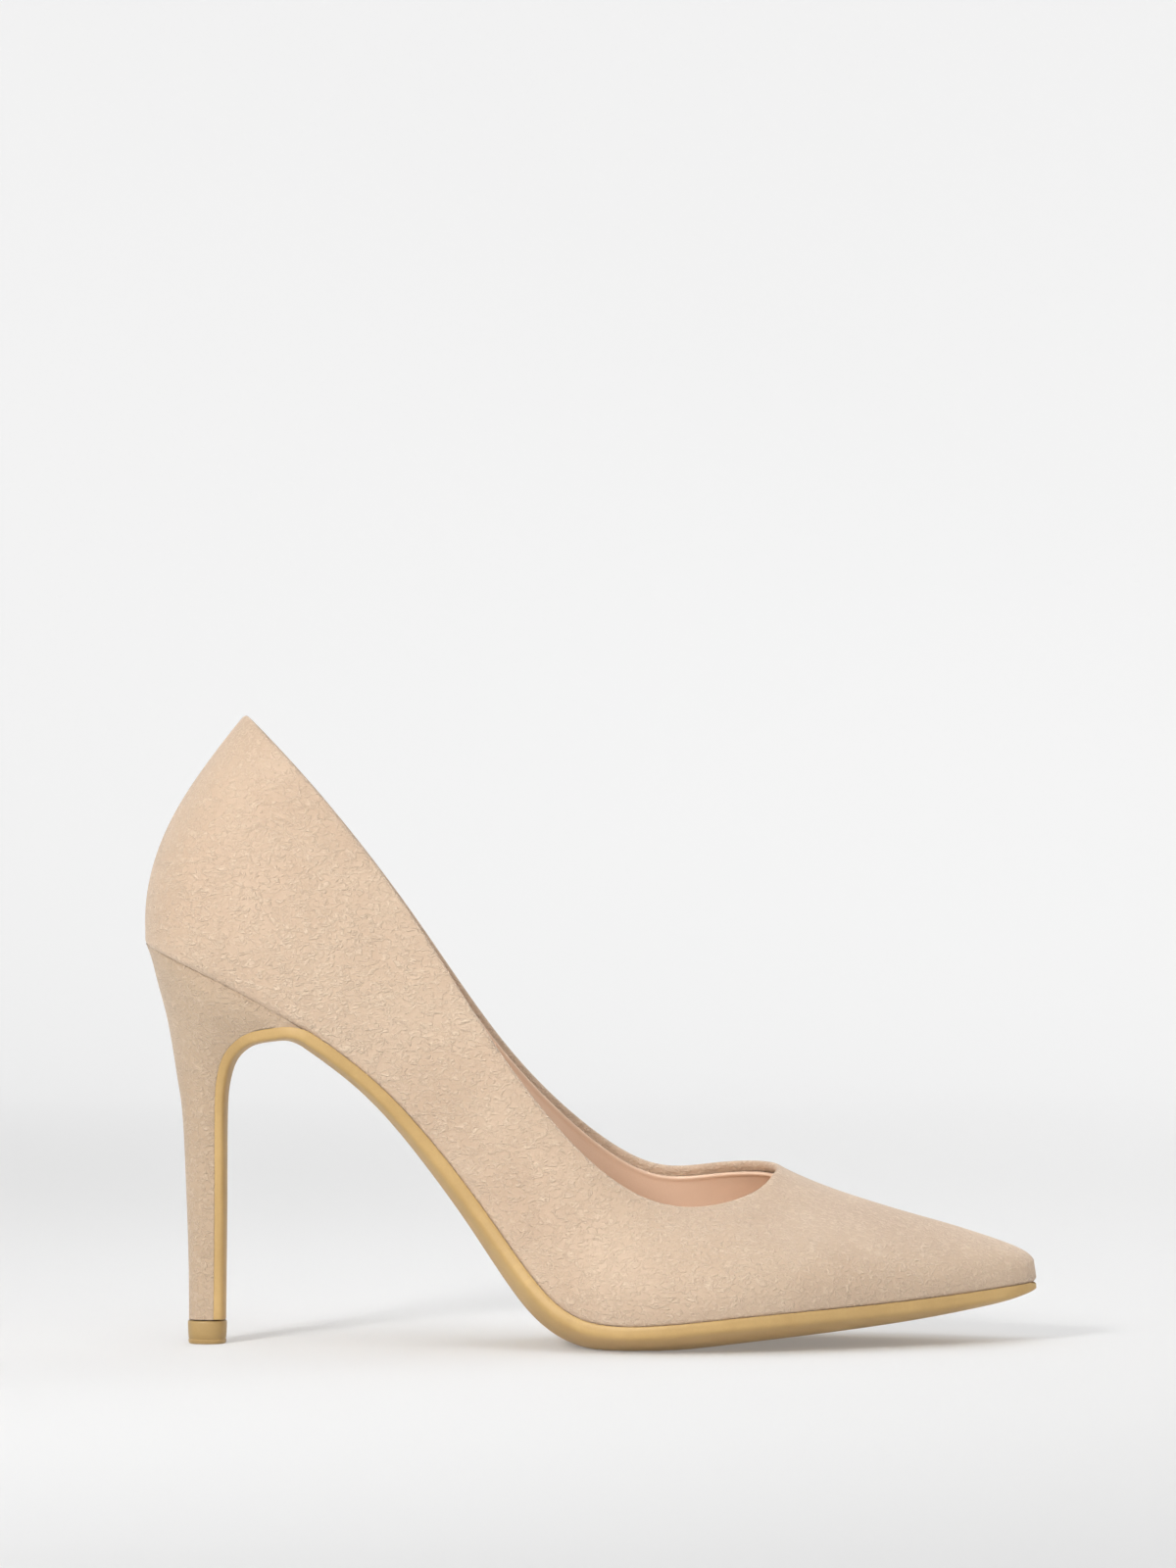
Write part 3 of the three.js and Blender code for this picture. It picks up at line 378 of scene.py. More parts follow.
camera = bpy.data.objects.new("camera", bpy.data.cameras.new("camera"))
camera.data.sensor_width = SENSOR
camera.data.lens = SENSOR * VIEW_DISTANCE / VIEW_HEIGHT
camera.location = (CAMERA_X, to_frame[1] * MM - VIEW_DISTANCE, CAMERA_Z)
camera.rotation_euler = (math.radians(90), 0, 0)
bpy.context.scene.collection.objects.link(camera)
bpy.context.scene.camera = camera
bpy.context.scene.view_settings.view_transform = "Standard"
print("lens:", round(camera.data.lens, 1), "mm")

# %% [markdown]
# ## The sweep
# The set is a white sweep: one sheet that is floor in front and wall behind, with a wide curve
# between, so that no horizon shows. Two planes would meet in a line. It is only a strip of
# quads, so it is written straight from a line of points, and gets its paint with the finishes.

# %% Sweep
FLOOR_FRONT = -9.0
FLOOR_BACK = 1.3
SWEEP_RADIUS = 0.9
WALL_TOP = 3.2
SWEEP_HALF = 3.0
SWEEP_STEPS = 24

angles = np.linspace(0, np.pi / 2, SWEEP_STEPS)
sweep_line = [(FLOOR_FRONT, 0.0)]
sweep_line += [
    (FLOOR_BACK + SWEEP_RADIUS * math.sin(a), SWEEP_RADIUS * (1 - math.cos(a))) for a in angles
]
sweep_line += [(FLOOR_BACK + SWEEP_RADIUS, WALL_TOP)]
sweep_points = [(side * SWEEP_HALF, y, z) for y, z in sweep_line for side in (-1, 1)]
sweep_faces = [(2 * i, 2 * i + 1, 2 * i + 3, 2 * i + 2) for i in range(len(sweep_line) - 1)]
sweep_mesh = bpy.data.meshes.new("studio_sweep")
sweep_mesh.from_pydata(sweep_points, [], sweep_faces)
sweep_mesh.shade_smooth()
sweep = bpy.data.objects.new("studio_sweep", sweep_mesh)
bpy.context.scene.collection.objects.link(sweep)
print("sweep:", len(sweep_faces), "faces")

# %% [markdown]
# ## The lights
# Product sets use softboxes, lamps behind a sheet of cloth, because a bare bulb draws a hard
# shadow. Blender's area lamps do the same. A narrow spread turns the first one into a pool of
# light on the quarter of the shoe; the others and a white world fill in from all round.

# %% Lights
WORLD_LIGHT = 0.56
LIGHTS = {
    # name: place, aimed at, size, power, spread in degrees
    "key_softbox": ((-0.7, -1.2, 0.7), (-0.09, 0.0, 0.12), 0.35, 1.08, 45),
    "top_softbox": ((-0.1, -0.35, 1.7), (0.0, 0.0, 0.0), 0.8, 5.0, 180),
    "front_fill": ((0.9, -1.3, 1.1), (0.0, 0.0, 0.05), 0.9, 2.9, 180),
    "rim_softbox": ((0.8, 0.8, 0.9), (0.0, 0.0, 0.08), 0.9, 4.0, 180),
}

world = bpy.data.worlds.new("studio")
world.use_nodes = True
world.node_tree.nodes["Background"].inputs["Color"].default_value = (1, 1, 1, 1)
world.node_tree.nodes["Background"].inputs["Strength"].default_value = WORLD_LIGHT
bpy.context.scene.world = world
for name, (place, target, size, power, spread) in LIGHTS.items():
    lamp = bpy.data.lights.new(name, "AREA")
    lamp.size = size
    lamp.energy = power
    lamp.spread = math.radians(spread)
    holder = bpy.data.objects.new(name, lamp)
    holder.location = place
    aim = holder.location.copy()
    aim.x, aim.y, aim.z = (t - p for t, p in zip(target, place))
    holder.rotation_euler = aim.to_track_quat("-Z", "Y").to_euler()
    bpy.context.scene.collection.objects.link(holder)
print("lights:", len(LIGHTS))

# %% [markdown]
# ## Node groups: effects that several finishes share
# Suede, lining, sole and board differ in colour but share effects: nap, patches, grain, scuffs.
# Each effect is a shader node group with named inputs, built once and used with other values in
# each material. A group gives only colours, masks and heights; the shader stays in the material.
# All patterns are worked out from the object's own coordinates, so they stay on the shoe. Node
# trees are long to write out, so a few helpers come first.

# %% Small helpers for nodes
NOISE = "ShaderNodeTexNoise"
MATH = "ShaderNodeMath"
MIX = "ShaderNodeMix"


def add_node(tree, kind, inputs=None, **settings):
    made = tree.nodes.new(kind)
    for key, value in settings.items():
        setattr(made, key, value)
    for key, value in (inputs or {}).items():
        if isinstance(value, bpy.types.NodeSocket):
            tree.links.new(value, made.inputs[key])
        else:
            made.inputs[key].default_value = value
    return made


def new_group(name, inputs, outputs):
    """An empty node group; inputs are {name: (socket type, default)}, outputs {name: type}."""
    tree = bpy.data.node_groups.new(name, "ShaderNodeTree")
    for label, (kind, default) in inputs.items():
        socket = tree.interface.new_socket(label, in_out="INPUT", socket_type=kind)
        if default is not None:
            socket.default_value = default
    for label, kind in outputs.items():
        tree.interface.new_socket(label, in_out="OUTPUT", socket_type=kind)
    return tree, tree.nodes.new("NodeGroupInput").outputs, tree.nodes.new("NodeGroupOutput")


def calc(tree, operation, a, b=0.0, c=0.0, clamp=False):
    made = add_node(tree, MATH, {0: a, 1: b, 2: c}, operation=operation, use_clamp=clamp)
    return made.outputs[0]


def noise(tree, vector, size, detail, roughness, distortion=0.0):
    """Noise whose features are about `size` metres across."""
    scale = calc(tree, "DIVIDE", 1.0, size)
    inputs = {"Vector": vector, "Scale": scale, "Detail": detail, "Roughness": roughness}
    made = add_node(tree, NOISE, {**inputs, "Distortion": distortion})
    return made.outputs["Fac"]


def blend_colors(tree, share, a, b):
    made = add_node(tree, MIX, {"Factor": share, "A": a, "B": b}, data_type="RGBA")
    return made.outputs["Result"]


# %% [markdown]
# ### Suede nap
# Suede is leather brushed up into a short pile. Strokes of a hand leave broad marks where the pile
# stands up or lies down, and close up the pile is a felt of small curled fibres. Hair particles
# could grow it, but at half a millimetre long they would cost much and show little, so three
# noises of falling size draw it: brush marks, clumps and fibres. They mix a lit and a shaded
# colour: painted light on raised pile and fibre tips, painted shade on laid pile.

# %% Group: suede nap
FLOAT = "NodeSocketFloat"
COLOR = "NodeSocketColor"
VECTOR = "NodeSocketVector"
# the fibres lie along the shoe, so their pattern is stretched that way
COMBED = (0.55, 1.0, 1.15)
FIBRE_SHARPNESS = -9.0
TUFTS_FROM = 0.46
TUFT_CONTRAST = 5.0
TUFT_BASE = 0.3
# what each pattern is on average, so that its strength doesn't shift the colour
NAP_MIDDLES = {"Brush": 0.5, "Clump": 0.5, "Fibre": 0.25}
NAP_SHARE = 0.45
CLUMP_HEIGHT = 0.8
LAID_ROUGHNESS = 0.62
RAISED_SMOOTHING = -0.14


def build_nap():
    """Short brushed pile: broad brushing marks, small clumps and single fibres, in painted light
    and shade.
    """
    tree, given, out = new_group(
        "suede_nap",
        {
            "Vector": (VECTOR, None),
            "Raised": (COLOR, (1, 1, 1, 1)),
            "Laid": (COLOR, (0.5, 0.5, 0.5, 1)),
            "Brush Size": (FLOAT, 0.03),
            "Clump Size": (FLOAT, 0.003),
            "Fibre Size": (FLOAT, 0.0006),
            "Brush": (FLOAT, 1.0),
            "Clump": (FLOAT, 1.0),
            "Fibre": (FLOAT, 1.0),
        },
        {"Color": COLOR, "Roughness": FLOAT, "Height": FLOAT},
    )
    brush = noise(tree, given["Vector"], given["Brush Size"], 2.0, 0.55, 0.6)
    clump = noise(tree, given["Vector"], given["Clump Size"], 3.0, 0.6, 1.2)
    # A noise is near its middle along wandering lines: those lines are the curled fibres, which get
    # painted light.
    combed = add_node(
        tree, "ShaderNodeVectorMath", {0: given["Vector"], 1: COMBED}, operation="MULTIPLY"
    )
    curl = noise(tree, combed.outputs["Vector"], given["Fibre Size"], 1.5, 0.5, 0.8)
    off_line = calc(tree, "ABSOLUTE", calc(tree, "SUBTRACT", curl, 0.5))
    curled = calc(tree, "MULTIPLY_ADD", off_line, FIBRE_SHARPNESS, 1.0, clamp=True)
    raised = calc(tree, "SUBTRACT", clump, TUFTS_FROM)
    tufts = calc(tree, "MULTIPLY_ADD", raised, TUFT_CONTRAST, TUFT_BASE, clamp=True)
    fibre = calc(tree, "MULTIPLY", curled, tufts)
    # the share runs from the painted shade of laid pile to the painted light of raised pile and
    # fibres
    total = NAP_SHARE
    for pattern, amount in ((brush, "Brush"), (clump, "Clump"), (fibre, "Fibre")):
        centred = calc(tree, "SUBTRACT", pattern, NAP_MIDDLES[amount])
        total = calc(tree, "MULTIPLY_ADD", centred, given[amount], total)
    share = calc(tree, "ADD", total, 0.0, clamp=True)
    height = calc(tree, "MULTIPLY_ADD", clump, CLUMP_HEIGHT, fibre)
    roughness = calc(tree, "MULTIPLY_ADD", share, RAISED_SMOOTHING, LAID_ROUGHNESS)
    tree.links.new(blend_colors(tree, share, given["Laid"], given["Raised"]), out.inputs["Color"])
    tree.links.new(roughness, out.inputs["Roughness"])
    tree.links.new(height, out.inputs["Height"])
    return tree


nap_group = build_nap()
print("suede nap:", len(nap_group.nodes), "nodes")

# %% [markdown]
# ### Mottling
# Lining, moulding, board and foam are never one flat colour: dye and filler gather in patches.
# A painted texture could show that, but it would need a layout of the surface. Two noises,
# one inside the other, give soft patches with a finer speckle anywhere on a body.

# %% Group: mottling


def build_mottle():
    """Two close colours in soft patches, with a finer second pattern inside them."""
    tree, given, out = new_group(
        "mottle",
        {
            "Vector": (VECTOR, None),
            "Color A": (COLOR, (0.5, 0.5, 0.5, 1)),
            "Color B": (COLOR, (0.6, 0.6, 0.6, 1)),
            "Patch Size": (FLOAT, 0.01),
            "Speck Size": (FLOAT, 0.001),
            "Speck": (FLOAT, 0.5),
        },
        {"Color": COLOR, "Share": FLOAT},
    )
    patch = noise(tree, given["Vector"], given["Patch Size"], 3.0, 0.55, 0.4)
    speck = noise(tree, given["Vector"], given["Speck Size"], 2.0, 0.6)
    centred = calc(tree, "SUBTRACT", speck, 0.5)
    share = calc(tree, "MULTIPLY_ADD", centred, given["Speck"], patch, clamp=True)
    color = blend_colors(tree, share, given["Color A"], given["Color B"])
    tree.links.new(color, out.inputs["Color"])
    tree.links.new(share, out.inputs["Share"])
    return tree


mottle_group = build_mottle()
print("mottle:", len(mottle_group.nodes), "nodes")

# %% [markdown]
# ### Leather grain
# Smooth lining leather keeps a faint pebble, small cells with valleys between them. Sculpting it
# would need millions of faces. The distance to the edge of a Voronoi cell is exactly such a
# pebble, so it serves as a height.

# %% Group: leather grain


def build_grain():
    """Pebbled skin: cells with fine valleys between them."""
    tree, given, out = new_group(
        "leather_grain",
        {"Vector": (VECTOR, None), "Cell Size": (FLOAT, 0.0008), "Valley": (FLOAT, 0.12)},
        {"Height": FLOAT},
    )
    scale = calc(tree, "DIVIDE", 1.0, given["Cell Size"])
    cells = add_node(
        tree,
        "ShaderNodeTexVoronoi",
        {"Vector": given["Vector"], "Scale": scale},
        feature="DISTANCE_TO_EDGE",
    )
    height = calc(tree, "DIVIDE", cells.outputs["Distance"], given["Valley"], clamp=True)
    tree.links.new(height, out.inputs["Height"])
    return tree


grain_group = build_grain()
print("leather grain:", len(grain_group.nodes), "nodes")

# %% [markdown]
# ### Scuffs
# Sole and heel tip are touched by the floor and by hands, which leaves thin streaks. They could
# be drawn one by one; a noise that is stretched along the shoe and cut off near its peaks gives
# them at random places, and one number says how many there are.

# %% Group: scuffs
SCUFF_CEILING = 0.75
SCUFF_CONTRAST = 4.0


def build_scuffs():
    """Thin rubbed streaks, long in one direction, where something has slid past."""
    tree, given, out = new_group(
        "scuffs",
        {
            "Vector": (VECTOR, None),
            "Length": (FLOAT, 0.01),
            "Width": (FLOAT, 0.0005),
            "Amount": (FLOAT, 0.3),
        },
        {"Mask": FLOAT},
    )
    parts = add_node(tree, "ShaderNodeSeparateXYZ", {"Vector": given["Vector"]})
    sizes = {"X": "Length", "Y": "Width", "Z": "Length"}
    stretched = {
        axis: calc(tree, "DIVIDE", parts.outputs[axis], given[size]) for axis, size in sizes.items()
    }
    joined = add_node(tree, "ShaderNodeCombineXYZ", stretched)
    pattern = {"Vector": joined.outputs["Vector"], "Scale": 1.0, "Detail": 3.0, "Roughness": 0.6}
    streak = add_node(tree, NOISE, pattern)
    threshold = calc(tree, "SUBTRACT", SCUFF_CEILING, given["Amount"])
    above = calc(tree, "SUBTRACT", streak.outputs["Fac"], threshold)
    mask = calc(tree, "MULTIPLY", above, SCUFF_CONTRAST, clamp=True)
    tree.links.new(mask, out.inputs["Mask"])
    return tree


scuffs_group = build_scuffs()
print("node groups:", [group.name for group in bpy.data.node_groups])

# %% [markdown]
# ## Finishes
# A finish is a Principled shader with its own numbers, fed by the groups. Colours are written as
# the sRGB values that a painter picks and turned into the linear values that the shader wants.

# %% Helpers for finishes


def srgb(red, green, blue):
    """Linear colour of an sRGB colour given from 0 to 255."""
    def linear(value):
        share = value / 255
        return share / 12.92 if share <= 0.04045 else ((share + 0.055) / 1.055) ** 2.4

    return (linear(red), linear(green), linear(blue), 1.0)


def new_finish(name, **numbers):
    """A material with its Principled shader set, its node tree and object coordinates."""
    material = bpy.data.materials.new(name)
    material.use_nodes = True
    tree = material.node_tree
    shader = tree.nodes["Principled BSDF"]
    for label, value in numbers.items():
        shader.inputs[label.replace("_", " ")].default_value = value
    place = tree.nodes.new("ShaderNodeTexCoord").outputs["Object"]
    return material, tree, shader, place


def use_group(tree, group, **inputs):
    made = tree.nodes.new("ShaderNodeGroup")
    made.node_tree = group
    for label, value in inputs.items():
        socket = made.inputs[label.replace("_", " ")]
        if isinstance(value, bpy.types.NodeSocket):
            tree.links.new(value, socket)
        else:
            socket.default_value = value
    return made.outputs


def bump(tree, shader, height, distance, strength=1.0):
    inputs = {"Height": height, "Distance": distance, "Strength": strength}
    made = add_node(tree, "ShaderNodeBump", inputs)
    tree.links.new(made.outputs["Normal"], shader.inputs["Normal"])


# %% [markdown]
# ### Paint for the sweep
# A white wall would need so much light that the shoe burned out. So the sweep is light grey and
# glows a little itself. It glows more on the wall than on the floor, because the lamps reach the
# wall less, and a soft ramp along its depth leads from one to the other.

# %% Sweep paint
SWEEP_GREY = (0.6, 0.6, 0.6, 1)
FLOOR_GLOW = 0.19
WALL_GLOW = 0.48
GLOW_FROM = 0.5
GLOW_TO = 2.1


def sweep_paint():
    material, tree, shader, place = new_finish(
        "sweep_paint", Base_Color=SWEEP_GREY, Roughness=1.0, Specular_IOR_Level=0.0,
        Emission_Strength=1.0,
    )
    depth = add_node(tree, "ShaderNodeSeparateXYZ", {"Vector": place}).outputs["Y"]
    ramp = {"From Min": GLOW_FROM, "From Max": GLOW_TO, "To Min": FLOOR_GLOW, "To Max": WALL_GLOW}
    glow = add_node(
        tree, "ShaderNodeMapRange", {"Value": depth, **ramp}, interpolation_type="SMOOTHSTEP"
    )
    tree.links.new(glow.outputs["Result"], shader.inputs["Emission Color"])
    return material


sweep.data.materials.append(sweep_paint())
print("sweep glow:", FLOOR_GLOW, "on the floor,", WALL_GLOW, "on the wall")

# %% [markdown]
# ### Suede
# The upper and the heel cover are one suede, and the heel piece is given darker colours. The
# pile scatters light at its tips, which the sheen of the Principled shader stands for; a plain
# rough shader would look like paper. The nap group gives colour, roughness and bump together;
# its colour paints light on raised pile and shade on laid pile.

# %% Suede
SHEEN_TINT = srgb(255, 240, 222)


# the two colours are one pile in light and in shade: painted light and painted shade
def suede(name, raised, shaded_pile, brush):
    material, tree, shader, place = new_finish(
        name, Specular_IOR_Level=0.5, Sheen_Weight=0.35, Sheen_Roughness=0.55,
        Sheen_Tint=SHEEN_TINT,
    )
    nap = use_group(
        tree, nap_group, Vector=place, Raised=raised, Laid=shaded_pile, Brush_Size=0.03, Clump_Size=0.0016,
        Fibre_Size=0.0013, Brush=brush, Clump=0.35, Fibre=0.6,
    )
    tree.links.new(nap["Color"], shader.inputs["Base Color"])
    tree.links.new(nap["Roughness"], shader.inputs["Roughness"])
    bump(tree, shader, nap["Height"], distance=0.00022)
    return material


# each pair of colours is the pile lit and in shade, painted light and painted shade
upper_suede = suede("upper_suede", srgb(216, 193, 168), srgb(187, 159, 134), 0.7)
heel_suede = suede("heel_suede", srgb(201, 178, 153), srgb(174, 149, 123), 0.6)
print("suede:", len(upper_suede.node_tree.nodes), "nodes around the group")

# %% [markdown]
# ### Lining and sock
# Both are thin dyed leather with a closed, slightly satin face. A clear coat would make it
# patent leather, so a middle roughness and a very shallow grain are enough.

# %% Lining and sock


def smooth_leather(name, light, dark, roughness):
    material, tree, shader, place = new_finish(name, Roughness=roughness, Specular_IOR_Level=0.35)
    color = use_group(
        tree, mottle_group, Vector=place, Color_A=dark, Color_B=light, Patch_Size=0.02,
        Speck_Size=0.0007, Speck=0.35,
    )
    grain = use_group(tree, grain_group, Vector=place, Cell_Size=0.0007, Valley=0.16)
    tree.links.new(color["Color"], shader.inputs["Base Color"])
    bump(tree, shader, grain["Height"], distance=0.00003, strength=0.5)
    return material


lining_leather = smooth_leather("lining_leather", srgb(234, 206, 182), srgb(226, 196, 171), 0.5)
sock_leather = smooth_leather("sock_leather", srgb(248, 222, 198), srgb(238, 210, 186), 0.55)
print("leathers:", lining_leather.name, sock_leather.name)

# %% [markdown]
# ### Sole and tip
# The sole is a rubber moulding tinted gold, and the tip a harder plastic of the same tint. Real
# metal would mirror the set; here only a trace of metallic warms the highlights, and rubbed
# streaks are lighter and duller than the rest.

# %% Sole and tip
SCUFF_ROUGHNESS = 0.25


def moulded_gold(name, light, dark, roughness):
    material, tree, shader, place = new_finish(name, Metallic=0.05, Specular_IOR_Level=0.4)
    color = use_group(
        tree, mottle_group, Vector=place, Color_A=dark, Color_B=light, Patch_Size=0.012,
        Speck_Size=0.0006, Speck=0.4,
    )
    scuff = use_group(tree, scuffs_group, Vector=place, Length=0.012, Width=0.0006, Amount=0.14)
    rubbed = blend_colors(tree, scuff["Mask"], color["Color"], light)
    tree.links.new(rubbed, shader.inputs["Base Color"])
    rough = calc(tree, "MULTIPLY_ADD", scuff["Mask"], SCUFF_ROUGHNESS, roughness)
    tree.links.new(rough, shader.inputs["Roughness"])
    bump(tree, shader, color["Share"], distance=0.00004, strength=0.4)
    return material


sole_gold = moulded_gold("sole_gold", srgb(200, 167, 112), srgb(176, 143, 90), 0.5)
tip_gold = moulded_gold("tip_gold", srgb(180, 151, 101), srgb(160, 131, 83), 0.42)
print("mouldings:", sole_gold.name, tip_gold.name)

# %% [markdown]
# ### Hidden stock
# Inside a shoe are stiffened cloth, fibreboard, cork, foam, plastic and steel. Each could have a
# tree of its own, but nobody sees them side by side, so one recipe takes its numbers from a table.

# %% Hidden finishes


def plain_stock(name, light, dark, patch, speck, roughness, depth, metallic):
    """Board, foam, moulding or steel: mottled stock with a rubbed or fibrous surface."""
    material, tree, shader, place = new_finish(name, Roughness=roughness, Metallic=metallic)
    color = use_group(
        tree, mottle_group, Vector=place, Color_A=dark, Color_B=light, Patch_Size=patch,
        Speck_Size=speck, Speck=0.8,
    )
    tree.links.new(color["Color"], shader.inputs["Base Color"])
    bump(tree, shader, color["Share"], distance=depth, strength=0.6)
    return material


HIDDEN = {
    # light and dark colour, patch and speck size, roughness, bump depth, metallic
    "stiffener": (srgb(222, 216, 204), srgb(206, 198, 184), 0.006, 0.0005, 0.85, 0.00006, 0.0),
    "fibreboard": (srgb(168, 146, 116), srgb(140, 118, 90), 0.004, 0.0004, 0.9, 0.00012, 0.0),
    "filler": (srgb(150, 118, 84), srgb(112, 84, 58), 0.0016, 0.0005, 0.9, 0.0002, 0.0),
    "foam": (srgb(236, 228, 210), srgb(222, 212, 192), 0.003, 0.0004, 0.95, 0.00015, 0.0),
    "heel_moulding": (srgb(236, 232, 222), srgb(226, 220, 208), 0.012, 0.001, 0.45, 0.00003, 0.0),
    "steel": (srgb(156, 160, 166), srgb(134, 138, 144), 0.008, 0.0006, 0.32, 0.00002, 1.0),
}
hidden_finish = {name: plain_stock(name, *numbers) for name, numbers in HIDDEN.items()}
print("finishes:", len(bpy.data.materials))

# %% [markdown]
# ## The upper
# One skin of suede covers the whole shoe. Real leather is wetted, pulled over the last, folded
# under the board and folded inwards at the topline, where it shows as a narrow band above the
# lining. It could be a subdivided cage, but the last is already a formula, so the skin is sampled
# from it: margin under the board, round the feather edge, up the side, over the fold and down
# behind the lining. Slow ripples of a tenth of a millimetre keep it from looking cast.

# %% Sections that wrap the last
STATIONS = 400
CROWDING = 0.4
# the turned-under margin points at a line down the middle, which ends short of heel and toe
LASTING_MARGIN = 8.0
MARGIN_PULL_LIMIT = 0.8
SKELETON_FROM = 24
SKELETON_END = 18
MARGIN_SHARES = np.linspace(1, 0.12, 5)
CORNER_ANGLES = np.radians(np.linspace(90, 18, 8))
# at the back the feather edge is pressed in by this share, where it meets the heel
HEEL_TUCK = 0.3
HEEL_TUCK_TURNS = 0.07


def crowded(steps):
    """Even steps round the shoe, crowded at toe and heel."""
    return steps - CROWDING * np.sin(4 * np.pi * steps) / (4 * np.pi)


def margin_place(turn, share):
    """A place on the part that is turned under, pulled towards the middle of the foot."""
    row, other = rib_curve(turn), rib_curve(1 - turn)
    goal = (row[..., :2] + other[..., :2]) / 2
    goal[..., 0] = np.clip(goal[..., 0], SKELETON_FROM, line_along[-1] - SKELETON_END)
    way = goal - row[..., :2]
    size = np.linalg.norm(way, axis=-1)
    pull = np.minimum(LASTING_MARGIN * share, size * MARGIN_PULL_LIMIT * share) / size
    place = row[..., :2] + way * pull[..., None]
    return place[..., 0], place[..., 1]


def wrapped(turn, outset, above, climbs):
    """Points of one face of a layer, from its margin to the given climbs; turn is a column."""
    shares = np.broadcast_to(MARGIN_SHARES, (len(turn), len(MARGIN_SHARES)))
    margin = over(*margin_place(turn + 0 * shares, shares), above)[0]
    bend, out, up = foot_at(turn, BOARD_LOW)
    drop = BOARD_LOW - above
    around_heel = (turn + 0.5) % 1 - 0.5
    tuck = 1 - HEEL_TUCK * np.exp(-((around_heel / HEEL_TUCK_TURNS) ** 2))
    corner = bend + out * (outset * tuck * np.cos(CORNER_ANGLES))[..., None]
    corner = corner - up * (drop * np.sin(CORNER_ANGLES))[:, None]
    side = side_at(turn, climbs, outset)[0]
    return np.concatenate([margin, corner, side], axis=1)


print("stations round the shoe:", STATIONS)

# %% Suede upper
HEM_DEPTH = 8.0
HEM_THICKNESS = 0.6
FOLD_RISE = 1.3
FOLD_INNER_RISE = 0.39
FOLD_ANGLES = np.linspace(0, np.pi, 13)
SIDE_STEPS = 54
HEM_STEPS = 7
FIRST_CLIMB = 0.03
# the ripples fade out over these climbs, at the topline and at the feather edge
RIPPLE = 0.1
RIPPLE_FADE_TOP = 0.06
RIPPLE_FADE_LOW = 0.1
# the back seam, in turns, with stations of its own
SEAM_HALF = 0.0011
SEAM_STATIONS = np.array([-3, -2, -1, -0.5, 0, 0.5, 1, 2, 3])
SEAM_CLEAR = 3.6
SEAM_DEPTH = 0.28


def ripple(points):
    """Slow waves over the leather, in shares of their full height."""
    # the wave lengths share no measure, so the pattern doesn't repeat on a shoe
    x, y, z = (points[..., k] for k in range(3))
    return (
        0.5 * np.sin(x / 9.3 + 0.9 * np.sin(z / 11.7)) * np.sin(z / 8.1 + y / 12.9)
        + 0.5 * np.sin(x / 4.7 - z / 6.3 + 1.7) * np.sin(y / 7.9 + x / 15.1)
    )


def fold(turn, edge, start, finish, rise):
    """Points over the topline, from one face of the leather to the other."""
    reach = (start + finish) / 2 + (start - finish) / 2 * np.cos(FOLD_ANGLES)
    place, _, up = side_at(turn, edge, reach[None, :])
    return place + up * (rise * np.sin(FOLD_ANGLES))[None, :, None]


def build_upper():
    steps = crowded(np.arange(STATIONS) / STATIONS)
    clear = SEAM_CLEAR * SEAM_HALF
    steps = steps[(steps > clear) & (steps < 1 - clear)]
    turn = np.concatenate([SEAM_STATIONS * SEAM_HALF, steps])[:, None]
    edge = climb_below(turn, FOLD_RISE)
    climbs = FIRST_CLIMB + (edge - FIRST_CLIMB) * np.linspace(0, 1, SIDE_STEPS)[None, :-1]
    hem_end = climb_below(turn, FOLD_RISE + HEM_DEPTH)
    hem = edge + (hem_end - edge) * np.linspace(0, 1, HEM_STEPS)[None, 1:]
    outer = UPPER_OUT + LEATHER
    hem_back = UPPER_OUT - GLUE
    hem_front = hem_back - HEM_THICKNESS

    # The two ends of the suede meet at the back in a closed seam, a shallow groove.
    turned = (turn + 0.5) % 1 - 0.5
    groove = SEAM_DEPTH * np.exp(-((turned / SEAM_HALF) ** 2))
    lift = RIPPLE * ripple(side_at(turn, climbs)[0])
    fade_top = np.clip((edge - climbs) / RIPPLE_FADE_TOP, 0, 1)
    fade = fade_top * np.clip(climbs / RIPPLE_FADE_LOW, 0, 1)
    far = wrapped(turn, outer, GLUE, climbs)
    far[:, -climbs.shape[1]:] = side_at(turn, climbs, outer + lift * fade - groove)[0]
    near = [
        wrapped(turn, UPPER_OUT, GLUE + LEATHER, climbs),
        fold(turn, edge, UPPER_OUT, hem_back, FOLD_INNER_RISE),
        side_at(turn, hem, hem_back)[0],
    ]
    far = [far, fold(turn, edge, outer, hem_front, FOLD_RISE), side_at(turn, hem, hem_front)[0]]
    return skin("suede_upper", np.concatenate(near, 1), np.concatenate(far, 1), ring=True)


dress(build_upper(), "suede", upper_suede, "upper")

# %% [markdown]
# ## The lining
# Inside the suede lies a smooth lining in two parts, vamp and quarter, which meet in a seam on
# each side. Its top edge stops a little below the topline and is rolled, so it catches the light
# as a thin pale line. A separate tube could stand for that roll; here the sheet's own edge swells,
# as a turned edge does.

# %% Vamp and quarter lining
LINING_DROP = 2.4
LINING_LOW = GLUE + LEATHER + GLUE
LINING_SEAM = 0.18
SEAM_GAP = 0.0003
LINING_STEPS = 44
QUARTER_STATIONS = 190
VAMP_STATIONS = 240
# the rolled edge swells inwards by this much, over this depth
ROLL = 0.22
ROLL_DEPTH = 0.9
ROLL_SHARES = np.linspace(0, 1, 5)[None, 1:]
RIM_ANGLES = np.radians([0, 30, 60])


